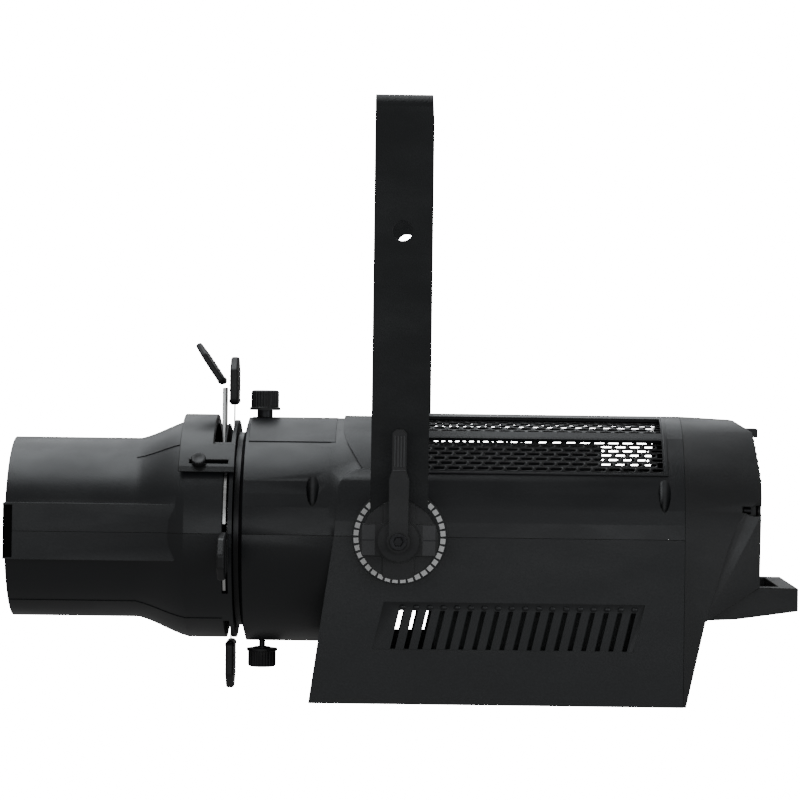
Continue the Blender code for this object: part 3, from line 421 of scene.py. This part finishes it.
def punched_sheet(first, rows, low_x, columns):
    """Rows of cells, each a rectangle about one slot, rolled round the optical axis."""
    bm = bmesh.new()
    degree = math.radians(1) * MESH_R

    def corner(x, angle):
        a = math.radians(angle)
        return bm.verts.new((x, MESH_R * math.cos(a), AXIS_Z + MESH_R * math.sin(a)))

    for row in range(rows):
        centre = first + (row + 0.5) * ROW_PITCH
        tall = (SLOT_HIGH if centre < CROWN_ANGLE else CROWN_SLOT_HIGH) / 2
        bend = SLOT_LONG / 2 - tall
        for column in range(columns):
            x = low_x + (column + 0.5 + 0.5 * (row % 2)) * SLOT_PITCH
            inner, outer = [], []
            for end in (-1, 1):
                for step in range(5):
                    a = math.radians(90 + 45 * step) if end < 0 else math.radians(270 + 45 * step)
                    along = x + end * bend + tall * math.cos(a)
                    inner.append(corner(along, centre + tall * math.sin(a) / degree))
                    across = end * (bend if step in (0, 4) else SLOT_PITCH / 2)
                    up = round(math.sin(a), 1)
                    up = (up > 0) - (up < 0)
                    outer.append(corner(x + across, centre + up * ROW_PITCH / 2))
            for i in range(10):
                follow = (i + 1) % 10
                bm.faces.new((outer[i], outer[follow], inner[follow], inner[i]))
    bmesh.ops.remove_doubles(bm, verts=bm.verts, dist=1e-5)
    return bm


def mirror_across(bm):
    """Add the same faces on the other side of the middle plane."""
    copy = bmesh.ops.duplicate(bm, geom=bm.faces[:] + bm.edges[:] + bm.verts[:])["geom"]
    verts = [v for v in copy if isinstance(v, bmesh.types.BMVert)]
    bmesh.ops.scale(bm, vec=(1, -1, 1), verts=verts)
    bmesh.ops.reverse_faces(bm, faces=[f for f in copy if isinstance(f, bmesh.types.BMFace)])


sheet_bm = punched_sheet(MESH_LOW_ANGLE, ROWS, MESH_LOW_X, COLUMNS)
mirror_across(sheet_bm)
vent_mesh = add_piece("vent_mesh_punched", mesh_of(sheet_bm, "vent_mesh"), SHEET, "housing")
thickness = vent_mesh.modifiers.new("thickness", "SOLIDIFY")
thickness.thickness = MESH_T
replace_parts(vent_mesh, "vent_mesh")


# ---- Tilt clamps --------------------------------------------------------------------------------
# On each side a boss with thirty-six white marks, a moulded disc with a raised cross, and a
# clamping lever with grip ribs, held by a dark socket-head bolt.
PLASTIC = coated("moulded_plastic", (0.0105, 0.0105, 0.0112), 1900.0, 0.00003, (0.38, 0.52), 0.12)
# A lighter grey for the horizontal spokes of the disc and the lever's grip ribs: painted highlight, where
# they catch the light from above.
PAINTED_HIGHLIGHT = coated("painted_highlight_plastic", (0.042, 0.042, 0.044), 1900.0, 0.00003, (0.30, 0.42), 0.12)
OXIDE = coated("blackened_steel", (0.030, 0.030, 0.032), 2600.0, 0.00001, (0.26, 0.40), 0.05, 0.85)
MARKS, _ = principled("white_marks", (0.92, 0.92, 0.91), 0.5)
BOSS_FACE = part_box("pivot_boss_right")[1].y
DISC_BACK, DISC_FACE = (corner.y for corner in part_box("pressure_disc_right"))
LEVER_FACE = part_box("clamp_lever_right")[1].y
MARK_COUNT, MARK_REACH, MARK_HALF, MARK_PROUD = 36, (0.0362, 0.0406), 0.0024, 0.00018
CROSS_R, CROSS_HALF, RIM_R, HUB_R = 0.0345, 0.0140, 0.0335, 0.0205
HIGHLIGHT_REACH, HIGHLIGHT_HALF = (0.0206, 0.0318), 0.0130
INDEX_SHADE_REACH, INDEX_SHADE_HALF = (0.0212, 0.0342), 0.0004
SOCKET_R, SOCKET_FLOOR = 0.0042, 0.1885


def slab(bm, outline, near, far):
    """A flat outline of (x, z) points about the tilt axis, from one Y to another."""
    rings = [[bm.verts.new((x, y, AXIS_Z + z)) for x, z in outline] for y in (near, far)]
    bm.faces.new(rings[0])
    bm.faces.new(rings[1][::-1])
    for i in range(len(outline)):
        follow = (i + 1) % len(outline)
        bm.faces.new((rings[0][i], rings[1][i], rings[1][follow], rings[0][follow]))


def cross_outline(radius, half):
    """A four-spoked cross whose spokes end on a circle."""
    reach = math.degrees(math.asin(half / radius))
    points = []
    for quarter in range(4):
        for i in range(7):
            a = math.radians(90 * quarter - reach + 2 * reach * i / 6)
            points.append((radius * math.cos(a), radius * math.sin(a)))
        a = math.radians(90 * quarter + 45)
        inner = half * math.sqrt(2)
        points.append((inner * math.cos(a), inner * math.sin(a)))
    return points


def round_outline(radius, sides=64):
    angles = [2 * math.pi * i / sides for i in range(sides)]
    return [(radius * math.cos(a), radius * math.sin(a)) for a in angles]


def cutter(bm, name):
    """A tool for carve, which removes it after its cut."""
    made = bpy.data.objects.new(name, mesh_of(bm, name))
    bpy.context.scene.collection.objects.link(made)
    return made


def hex_cutter(name, radius, low, high):
    bm = bmesh.new()
    slab(bm, round_outline(radius, 6), low, high)
    return cutter(bm, name)


for side, way in SIDES_OF.items():
    skin("pivot_boss_" + side, CASTING, 0.0008)
    marks = bmesh.new()
    face = Matrix.Translation((0, way * BOSS_FACE, AXIS_Z))
    for i in range(MARK_COUNT):
        low = (MARK_REACH[0], -MARK_PROUD, -MARK_HALF)
        mark = block(marks, low, (MARK_REACH[1], MARK_PROUD, MARK_HALF))
        turn = Matrix.Rotation(2 * math.pi * (i + 0.5) / MARK_COUNT, 4, "Y")
        bmesh.ops.transform(marks, matrix=face @ turn, verts=mark)
    add_piece("tilt_marks_" + side, mesh_of(marks, "tilt_marks"), MARKS, "housing")
    cross = bmesh.new()
    slab(cross, cross_outline(CROSS_R, CROSS_HALF), way * (DISC_BACK + 0.001), way * DISC_FACE)
    slab(cross, round_outline(RIM_R), way * DISC_BACK, way * (DISC_FACE - 0.0016))
    slab(cross, round_outline(HUB_R), way * DISC_BACK, way * (DISC_FACE + 0.0001))
    disc = add_piece("disc_cross_" + side, mesh_of(cross, "disc_cross"), PLASTIC, "yoke")
    round_edges(disc, 0.0005)
    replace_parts(disc, "pressure_disc_" + side)
    spoke_details = {
        # The pads on the horizontal spokes are painted highlight.
        "disc_painted_highlights": (HIGHLIGHT_REACH, HIGHLIGHT_HALF, 0.0002, PAINTED_HIGHLIGHT),
        # A dark strip that stands for the shade inside the index groove: painted shade.
        "disc_index_painted_shade": (INDEX_SHADE_REACH, INDEX_SHADE_HALF, 0.0004, OXIDE),
    }
    for detail, (reach, half, proud, finish) in spoke_details.items():
        strips = bmesh.new()
        for end in (-1, 1):
            near, far = sorted(end * x for x in reach)
            low = (near, way * DISC_FACE - proud, AXIS_Z - half)
            block(strips, low, (far, way * DISC_FACE + proud, AXIS_Z + half))
        add_piece(f"{detail}_{side}", mesh_of(strips, detail), finish, "yoke")
    skin("clamp_lever_" + side, PLASTIC, 0.0014)
    # The grip ribs are raised; their lighter grey is painted highlight.
    ribs = bmesh.new()
    near, far = sorted((way * (LEVER_FACE - 0.0006), way * (LEVER_FACE + 0.0006)))
    for across in (-0.0039, -0.0013, 0.0013, 0.0039):
        block(ribs, (across - 0.0007, near, AXIS_Z + 0.064), (across + 0.0007, far, AXIS_Z + 0.091))
    block(ribs, (-0.0056, near, AXIS_Z + 0.0605), (0.0056, far, AXIS_Z + 0.0618))
    rib_mesh = mesh_of(ribs, "lever_ribs")
    lever = "clamp_lever_" + side
    round_edges(add_piece("lever_ribs_" + side, rib_mesh, PAINTED_HIGHLIGHT, lever), 0.0004)
    socket = hex_cutter("socket", SOCKET_R, *sorted((way * SOCKET_FLOOR, way * 0.20)))
    skin("pivot_bolt_" + side, OXIDE, 0.0005, cutters=[socket])


# ---- Yoke ------------------------------------------------------------------------------------------
# Bent steel strap, sprayed with a coarse textured coat that is a little greyer than the casting.
YOKE_BLACK = (0.0095, 0.0105, 0.0115)
YOKE_COAT = coated("textured_coat", YOKE_BLACK, 620.0, 0.00012, (0.42, 0.58), 0.10, level=0.32)
skin("yoke", YOKE_COAT, 0.0009)


# ---- Brushed metals --------------------------------------------------------------------------------
# Shutter blades and the pattern holder are brushed stainless sheet; the spacers and inner
# parts are plain machined or cast alloy.
def brushed_group():
    group, given, made = shader_group(
        "brushed_metal",
        [("Tint", COLOUR, (0.7, 0.7, 0.7, 1)), ("Rough low", FLOAT, 0.2), ("Rough high", FLOAT, 0.4)],
        [("Colour", COLOUR), ("Roughness", FLOAT), ("Height", FLOAT)],
    )
    place = group.nodes.new("ShaderNodeTexCoord").outputs["Object"]
    lines = noise(group, place, 60.0, 4.0, (1.0, 26.0, 1.0))
    cloud = noise(group, place, 22.0, 4.0)
    dark = group.nodes.new("ShaderNodeMix")
    dark.data_type = "RGBA"
    dark.blend_type = "MULTIPLY"
    group.links.new(spread(group, cloud, 0.45, 0.8, 0.0, 0.5), dark.inputs["Factor"])
    group.links.new(given.outputs["Tint"], dark.inputs[6])
    dark.inputs[7].default_value = (0.62, 0.60, 0.57, 1.0)
    group.links.new(dark.outputs[2], made.inputs["Colour"])
    rough = spread(group, lines, 0.3, 0.7, given.outputs["Rough low"], given.outputs["Rough high"])
    group.links.new(rough, made.inputs["Roughness"])
    group.links.new(lines, made.inputs["Height"])
    return group


BRUSHED = brushed_group()


def metal(name, tint, rough, bump=0.00002):
    made, shader = principled(name, tint, 0.3, 1.0)
    tree = made.node_tree
    finish = tree.nodes.new("ShaderNodeGroup")
    finish.node_tree = BRUSHED
    finish.inputs["Tint"].default_value = (*tint, 1.0)
    finish.inputs["Rough low"].default_value, finish.inputs["Rough high"].default_value = rough
    dent = tree.nodes.new("ShaderNodeBump")
    dent.inputs["Distance"].default_value = bump
    tree.links.new(finish.outputs["Height"], dent.inputs["Height"])
    for label, socket in (("Colour", "Base Color"), ("Roughness", "Roughness")):
        tree.links.new(finish.outputs[label], shader.inputs[socket])
    tree.links.new(dent.outputs["Normal"], shader.inputs["Normal"])
    return made


STAINLESS = metal("brushed_stainless", (0.72, 0.72, 0.71), (0.22, 0.38))
ALLOY = metal("cast_alloy", (0.55, 0.56, 0.57), (0.34, 0.52), 0.00003)
BRASS = metal("brass", (0.75, 0.58, 0.30), (0.22, 0.34))


# ---- Barrel -----------------------------------------------------------------------------------------
# Two cast halves with fine raised ridges along the cone.  Flat black plates in the notches at
# the front of the rails are painted shade, and bright blade guides show in the side slots.
for half in ("barrel_upper_half", "barrel_lower_half"):
    skin(half, CASTING, 0.0006, harden=False)
GATE_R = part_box("barrel_upper_half")[1].z - AXIS_Z      # wide rear part of the barrel
BARREL_R = 0.0817                                       # and its long front part
FLARE_X = (-0.238, -0.192)


def flare_points(lift):
    """The barrel's outline along the cone, as (x, radius)."""
    points = []
    for i in range(8):
        part = i / 7
        rise = 0.35 * (1 - math.cos(math.pi * part)) / 2 + 0.65 * part
        x = FLARE_X[0] + (FLARE_X[1] - FLARE_X[0]) * part
        points.append((x, BARREL_R - lift + (GATE_R - BARREL_R) * rise))
    return points


RIDGES = {"upper_left": 127.0, "upper_right": 53.0, "lower_left": 232.0, "lower_right": 308.0}
for place_name, angle in RIDGES.items():
    outline = flare_points(2 * SUNK)
    if "lower" in place_name:
        outline = [(-0.3515, BARREL_R - 2 * SUNK)] + outline + [(-0.159, GATE_R - 2 * SUNK)]
    name = "barrel_ridge_" + place_name
    angles = (angle - 0.6, angle + 0.6)
    ridge = arc_band(name, outline, *angles, 0.0008, CASTING, "barrel", "black_casting")
    ridge.modifiers["round_edges"].width = 0.0004

# Painted shade: a flat black plate stands in each rail notch, where the notch shows only shade.
SHADE_X, SHADE_Y, SHADE_HALF = (-0.3523, -0.3330), (0.0922, 0.0927), 0.0232
shades = bmesh.new()
for way in (-1, 1):
    near, far = sorted(way * y for y in SHADE_Y)
    block(shades, (SHADE_X[0], near, AXIS_Z - SHADE_HALF), (SHADE_X[1], far, AXIS_Z + SHADE_HALF))
PAINTED_SHADE_BLACK = coated("painted_shade_black", (0.0025, 0.0025, 0.0027), 2100.0, 0.00004, (0.80, 0.90), 0.0, level=0.1)
add_piece("rail_notch_painted_shade", mesh_of(shades, "rail_notch_painted_shade"), PAINTED_SHADE_BLACK, "barrel")
GUIDE = [(-0.1574, 0.0966), (-0.1545, 0.0966)]      # just inside the slots for the blades
for number, angles in enumerate(((145, 175), (200, 212), (5, 35), (-32, -20))):
    arc_band(f"blade_guide_{number}", GUIDE, *angles, 0.0008, STAINLESS, "barrel", "bright_steel")

SATIN = coated("satin_steel", (0.011, 0.0115, 0.012), 1500.0, 0.00002, (0.30, 0.42), 0.12, 0.2)
skin("slot_cover", SATIN, 0.0006, harden=False)


# ---- Knobs --------------------------------------------------------------------------------------------
# Moulded knobs with fluted rims: two that lock the barrel's rotation, the focus knob on the
# far side, and the slot cover's two thumbscrews.
def fluted(name, profile, centre, axis, teeth, depth, body):
    """Turn (along, radius, flute) points about an axis; a flute of 1 is cut to full depth."""
    stand = Matrix.Translation(centre) @ Vector(axis).to_track_quat("Z", "Y").to_matrix().to_4x4()
    count = teeth * 6
    bm = bmesh.new()
    rings = []
    for along, radius, flute in profile:
        ring = []
        for i in range(count):
            a = 2 * math.pi * i / count
            wave = max(0.0, math.cos(teeth * a)) ** 0.6
            r = radius - depth * flute * wave
            ring.append(bm.verts.new(stand @ Vector((r * math.cos(a), r * math.sin(a), along))))
        rings.append(ring)
    for low, high in zip(rings, rings[1:]):
        for i in range(count):
            follow = (i + 1) % count
            bm.faces.new((low[i], low[follow], high[follow], high[i]))
    bm.faces.new(rings[0])
    bm.faces.new(rings[-1])
    return add_piece(name + "_fluted", mesh_of(bm, name, 34), PLASTIC, body)


def knob_profile(base, top, radius, skirt):
    """Skirt, fluted rim, rounded shoulder and a shallow dish, from base to top."""
    return [
        (base, skirt, 0), (base + 0.0004, skirt, 0), (base + 0.0022, skirt, 0),
        (base + 0.0026, skirt - 0.0006, 0), (base + 0.0030, radius, 0.3),
        (base + 0.0036, radius, 1), (top - 0.0022, radius, 1),
        (top - 0.0010, radius - 0.0004, 0.8), (top - 0.0002, radius - 0.0016, 0.2),
        (top, radius - 0.0028, 0), (top - 0.0001, radius - 0.0040, 0), (top - 0.0009, radius - 0.0056, 0),
    ]


KNOB_R, KNOB_SKIRT_R, STEM_R, COLLAR_R, STEM_FOOT = 0.0128, 0.0140, 0.0029, 0.0072, 0.0864
LOCK_KNOBS = {      # way up, and the foot of the collar, the base and the top from the optical axis
    "rotation_knob_top": (1, 0.1023, 0.1085, 0.1268),
    "rotation_knob_bottom": (-1, 0.1075, 0.1090, 0.1260),
}
for name, (way, collar_foot, base, top) in LOCK_KNOBS.items():
    knob_low, knob_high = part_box(name)
    centre = ((knob_low.x + knob_high.x) / 2, 0, AXIS_Z)
    profile = knob_profile(base, top, KNOB_R, KNOB_SKIRT_R)
    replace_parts(fluted(name, profile, centre, (0, 0, way), 26, 0.0007, name), name)
    stem = [(STEM_FOOT, STEM_R, 0), (collar_foot, STEM_R, 0)]
    stem += [(collar_foot + 0.0001, COLLAR_R, 0), (base + 0.0002, COLLAR_R, 0)]
    collar = fluted(name + "_stem", stem, centre, (0, 0, way), 6, 0.0, name)
    collar.data.materials[0] = OXIDE

SCREW_X, SCREW_ANGLE = -0.180, math.radians(37.5)
SCREW_PROFILE = [(0.0946, 0.0013, 0), (0.1048, 0.0013, 0), (0.10485, 0.0062, 0.2), (0.1052, 0.0065, 1)]
SCREW_PROFILE += [(0.1090, 0.0065, 1), (0.1096, 0.0060, 0.6), (0.1098, 0.0050, 0), (0.1093, 0.0030, 0)]
for side, way in SIDES_OF.items():
    name = "thumbscrew_" + side
    axis = (0, way * math.cos(SCREW_ANGLE), math.sin(SCREW_ANGLE))
    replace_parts(fluted(name, SCREW_PROFILE, (SCREW_X, 0, AXIS_Z), axis, 18, 0.0005, name), name)

FOCUS_X = -0.290
FOCUS_PROFILE = [(0.0768, 0.0024, 0), (0.0966, 0.0024, 0), (0.0967, 0.0115, 0), (0.0972, 0.0119, 1)]
FOCUS_PROFILE += [(0.1080, 0.0112, 1), (0.1094, 0.0102, 0.6), (0.1100, 0.0088, 0), (0.1092, 0.0050, 0)]
name = "focus_knob"
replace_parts(fluted(name, FOCUS_PROFILE, (FOCUS_X, 0, AXIS_Z), (0, 1, 0), 24, 0.0006, name), name)


# ---- Shutters and pattern holder ------------------------------------------------------------------------
# Thin brushed blades in flat moulded handles.  Each handle has rounded edges, five grip ribs
# across both faces and a raised rim at its foot.
SHUTTERS = {        # direction in degrees, start of the handle, place in the stack of blades
    "top": (90.0, GATE_R + 0.0137, 0),
    "bottom": (270.0, GATE_R + 0.0022, 1),
    "left": (188.7, GATE_R + 0.0047, 2),
    "right": (0.0, GATE_R + 0.0047, 3),
}
BLADE_X, BLADE_PITCH = -0.1537, 0.0009
HANDLE_T, PATTERN_HANDLE_T = 0.0075, 0.0055
RIBS, RIB_FIRST, RIB_PITCH, RIB_HALF, RIB_PROUD = 5, 0.0135, 0.0043, 0.0150, 0.0005


def grip_ribs(name, matrix, body, thick=HANDLE_T):
    """Ribs across both faces of a handle that stands on its foot, and the rim at the foot."""
    bm = bmesh.new()
    for face in (-1, 1):
        middle = face * thick / 2
        for i in range(RIBS):
            up = RIB_FIRST + RIB_PITCH * i
            half = RIB_HALF - 0.0006 * i
            low = (-half, up - 0.0009, middle - RIB_PROUD)
            block(bm, low, (half, up + 0.0009, middle + RIB_PROUD))
        block(bm, (-0.0165, 0.0022, middle - 0.0005), (0.0165, 0.0052, middle + 0.0006))
    bmesh.ops.transform(bm, matrix=matrix, verts=bm.verts)
    return round_edges(add_piece(name, mesh_of(bm, name), PLASTIC, body), 0.0005)


def stand_at(origin, across, along):
    """A matrix whose X runs across a handle and Y along it."""
    across, along = Vector(across).normalized(), Vector(along).normalized()
    columns = Matrix((across, along, across.cross(along))).transposed().to_4x4()
    return Matrix.Translation(origin) @ columns


for name, (angle, start, layer) in SHUTTERS.items():
    skin("shutter_blade_" + name, STAINLESS)
    skin("shutter_handle_" + name, PLASTIC, 0.0022)
    turn = math.radians(angle)
    along = Vector((0, math.cos(turn), math.sin(turn)))
    origin = Vector((BLADE_X - layer * BLADE_PITCH, 0, AXIS_Z)) + along * start
    grip_ribs("shutter_ribs_" + name, stand_at(origin, (0, -along.z, along.y), along), "shutter_" + name)
skin("pattern_holder", STAINLESS, 0.0003)
skin("pattern_handle", PLASTIC, 0.0018)
PATTERN_LEAN = math.radians(34)
PATTERN_FOOT = (-0.1635, 0, AXIS_Z + GATE_R + 0.0292 + 0.0035)
leaning = (-math.sin(PATTERN_LEAN), 0, math.cos(PATTERN_LEAN))
pattern_stand = stand_at(PATTERN_FOOT, (0, 1, 0), leaning)
grip_ribs("pattern_ribs", pattern_stand, "pattern_holder", PATTERN_HANDLE_T)


# ---- Rear cover and handle -----------------------------------------------------------------------------
# Moulded cover with a screw notch in each rear corner, cooling ribs across the upper back, a
# small tab at the top, and the sockets under a plain control panel.
MOULDING = coated("moulded_cover", (0.0102, 0.0104, 0.0112), 1400.0, 0.00004, (0.36, 0.48), 0.12)
REAR_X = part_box("rear_cover")[1].x
NOTCH_R, NOTCH_Z, NOTCH_Y, NOTCH_X = 0.005, AXIS_Z + 0.0265, 0.1000, 0.3025


def tube_cutter(name, radius, start, end, sides=24):
    """A round cutter along X, from one point to another."""
    start, end = Vector(start), Vector(end)
    bm = bmesh.new()
    depth = (end - start).length
    ends = {"radius1": radius, "radius2": radius}
    bmesh.ops.create_cone(bm, cap_ends=True, segments=sides, depth=depth, **ends)
    turn = (end - start).to_track_quat("Z", "Y").to_matrix().to_4x4()
    bmesh.ops.transform(bm, matrix=Matrix.Translation((start + end) / 2) @ turn, verts=bm.verts)
    return cutter(bm, name)


def peg(bm, centre, foot, tip, length, sides=24):
    """A short peg along X, from the radius at its foot to the one at its tip."""
    stand = Matrix.Translation(centre) @ Matrix.Rotation(math.radians(90), 4, "Y")
    ends = {"radius1": foot, "radius2": tip}
    bmesh.ops.create_cone(bm, cap_ends=True, segments=sides, depth=length, matrix=stand, **ends)


notches = []
for way in (-1, 1):
    start = (NOTCH_X, way * NOTCH_Y, NOTCH_Z)
    notches.append(tube_cutter("notch", NOTCH_R, start, (REAR_X + 0.01, way * NOTCH_Y, NOTCH_Z)))
skin("rear_cover", MOULDING, 0.0008, harden=False, cutters=notches)
skin("carry_handle", PLASTIC, 0.0024)

COOLING_RIBS, COOLING_FIRST, COOLING_PITCH, COOLING_HALF = 7, 0.0525, 0.0058, 0.0014
KNEE, KNEE_DROP, KNEE_RISE = 0.050, 0.005, 0.044    # the back leans forward above its knee
rear_bm = bmesh.new()
for i in range(COOLING_RIBS):
    up = COOLING_FIRST + COOLING_PITCH * i
    x = REAR_X - KNEE_DROP * (up - KNEE) / KNEE_RISE
    half = math.sqrt(BODY_R ** 2 - up ** 2) - 0.012
    low = (x - 0.003, -half, AXIS_Z + up - COOLING_HALF)
    block(rear_bm, low, (x + 0.0018, half, AXIS_Z + up + COOLING_HALF))
block(rear_bm, (REAR_X - 0.012, -0.016, AXIS_Z + 0.0895), (REAR_X + 0.0035, 0.016, AXIS_Z + 0.0975))
rear_ribs = add_piece("rear_ribs", mesh_of(rear_bm, "rear_ribs"), MOULDING, "housing")
round_edges(rear_ribs, 0.0006)

SCREW_HEAD = (0.3075, 0.0975)       # centre of the head of a screw in its notch, X and Y
LINING_X, LINING_Y, LINING_HALF = (0.296, 0.3155), 0.0925, 0.008
screws = bmesh.new()
lining = bmesh.new()
for way in (-1, 1):
    peg(screws, (SCREW_HEAD[0], way * SCREW_HEAD[1], NOTCH_Z), 0.0034, 0.0030, 0.006)
    low = (LINING_X[0], way * LINING_Y - 0.001, NOTCH_Z - LINING_HALF)
    block(lining, low, (LINING_X[1], way * LINING_Y + 0.001, NOTCH_Z + LINING_HALF))
add_piece("rear_screws", mesh_of(screws, "rear_screws"), OXIDE, "housing")
add_piece("notch_lining", mesh_of(lining, "notch_lining"), MOULDING, "housing")

panel = bmesh.new()
block(panel, (REAR_X - 0.001, -0.046, AXIS_Z + 0.020), (REAR_X + 0.0008, 0.046, AXIS_Z + 0.046))
panel_mesh = mesh_of(panel, "control_panel")
round_edges(add_piece("control_panel", panel_mesh, PLASTIC, "housing"), 0.0005)
GLOSS, gloss_shader = principled("display_window", (0.006, 0.008, 0.010), 0.08)
gloss_shader.inputs["Coat Weight"].default_value = 0.6
window = bmesh.new()
block(window, (REAR_X, -0.040, AXIS_Z + 0.0245), (REAR_X + 0.0012, 0.002, AXIS_Z + 0.0415))
add_piece("display", mesh_of(window, "display"), GLOSS, "housing")
BUTTONS, BUTTON_FIRST_Y, BUTTON_PITCH, BUTTON_UP = 4, 0.011, 0.0095, 0.033
buttons = bmesh.new()
for i in range(BUTTONS):
    centre = (REAR_X + 0.0012, BUTTON_FIRST_Y + BUTTON_PITCH * i, AXIS_Z + BUTTON_UP)
    peg(buttons, centre, 0.0033, 0.0028, 0.0020)
button_mesh = mesh_of(buttons, "panel_buttons")
round_edges(add_piece("panel_buttons", button_mesh, PLASTIC, "housing"), 0.0003)

POWER_Y, MOUTH_HALF_Y, MOUTH_HALF_Z = -0.031, 0.0115, 0.0085
mouth = bmesh.new()
low = (REAR_X - 0.008, POWER_Y - MOUTH_HALF_Y, AXIS_Z - MOUTH_HALF_Z)
block(mouth, low, (REAR_X + 0.01, POWER_Y + MOUTH_HALF_Y, AXIS_Z + MOUTH_HALF_Z))
skin("power_inlet", PLASTIC, 0.0006, cutters=[cutter(mouth, "inlet_mouth")])
pins = bmesh.new()
for across, up in ((-0.0065, 0.002), (0.0065, 0.002), (0, -0.004)):
    y, z = POWER_Y + across, AXIS_Z + up
    block(pins, (REAR_X - 0.009, y - 0.0009, z - 0.0022), (REAR_X - 0.0015, y + 0.0009, z + 0.0022))
inlet_pins = add_piece("inlet_pins", mesh_of(pins, "inlet_pins"), BRASS, "housing")
round_edges(inlet_pins, 0.0003)

BORE_R, CORE_R, CONTACTS, CONTACT_CIRCLE, CONTACT_R = 0.0088, 0.0066, 5, 0.0042, 0.0008
for name in ("data_inlet", "data_outlet"):
    socket_low, socket_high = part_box(name)
    y = (socket_low.y + socket_high.y) / 2
    bore = tube_cutter("bore", BORE_R, (REAR_X - 0.0065, y, AXIS_Z), (REAR_X + 0.01, y, AXIS_Z), 32)
    skin(name, OXIDE, 0.0006, cutters=[bore])
    core = bmesh.new()
    peg(core, (REAR_X - 0.0045, y, AXIS_Z), CORE_R, CORE_R, 0.0060, 32)
    core_piece = add_piece(name + "_core", mesh_of(core, name), PLASTIC, "housing")
    round_edges(core_piece, 0.0003)
    contacts = bmesh.new()
    for i in range(CONTACTS):
        a = math.radians(90) + 2 * math.pi * i / CONTACTS
        spot_y, spot_z = y + CONTACT_CIRCLE * math.cos(a), AXIS_Z + CONTACT_CIRCLE * math.sin(a)
        peg(contacts, (REAR_X - 0.0015, spot_y, spot_z), CONTACT_R, CONTACT_R, 0.0012, 12)
    add_piece(name + "_contacts", mesh_of(contacts, name), BRASS, "housing")


# ---- Inner parts --------------------------------------------------------------------------------------
# Lenses, their tube and rings, the light source, the black anodised heat sink, the fan and the
# driver box, seen through the barrel's mouth, the vents and the louvres.
ANODISED = coated("black_anodised", (0.014, 0.014, 0.016), 2400.0, 0.00001, (0.38, 0.50), 0.10, 0.6)
BAFFLE = coated("baffle_black", (0.008, 0.008, 0.0085), 1700.0, 0.00003, (0.55, 0.70), 0.10)


def lens_glass(name, tint, smear):
    made, shader = principled(name, tint, 0.03)
    shader.inputs["Transmission Weight"].default_value = 1.0
    shader.inputs["IOR"].default_value = 1.5
    tree = made.node_tree
    place = tree.nodes.new("ShaderNodeTexCoord").outputs["Object"]
    cloud = noise(tree, place, 55.0, 5.0)
    tree.links.new(spread(tree, cloud, 0.5, 0.75, 0.02, smear), shader.inputs["Roughness"])
    return made


GLASS = lens_glass("coated_glass", (0.92, 0.96, 0.97), 0.10)
INNER = {
    "front_lens": (GLASS, "clear_glass", 0.0004),
    "field_lens": (GLASS, "clear_glass", 0.0004),
    "condenser_lens": (GLASS, "clear_glass", 0.0004),
    "lens_tube": (BAFFLE, "black_steel", 0.0004),
    "lens_retainer": (SATIN, "black_steel", 0.0004),
    "field_lens_holder": (BAFFLE, "black_steel", 0.0004),
    "rotation_ring": (SATIN, "black_steel", 0.0004),
    "gate_front_plate": (BAFFLE, "black_steel", 0.0003),
    "gate_rear_plate": (BAFFLE, "black_steel", 0.0003),
    "base_plate": (SATIN, "black_steel", 0.0005),
    "lamp_bracket": (SATIN, "black_steel", 0.0005),
    "heat_sink": (ANODISED, "alloy", 0.0002),
    "collimator": (ALLOY, "alloy", 0.0004),
    "led_board": (ALLOY, "bright_steel", 0.0003),
    "tilt_spacer_left": (ANODISED, "black_plastic", 0.0006),
    "tilt_spacer_right": (ANODISED, "black_plastic", 0.0006),
    "driver_box": (SATIN, "black_plastic", 0.0012),
    "fan_frame": (PLASTIC, "black_plastic", 0.0008),
    "fan_rotor": (PLASTIC, "black_plastic", 0.0004),
}
for name, (finish, slot, edge) in INNER.items():
    skin(name, finish, edge)
for place_name in ("front_left", "front_right", "rear_left", "rear_right"):
    skin("housing_screw_" + place_name, OXIDE, 0.0003)
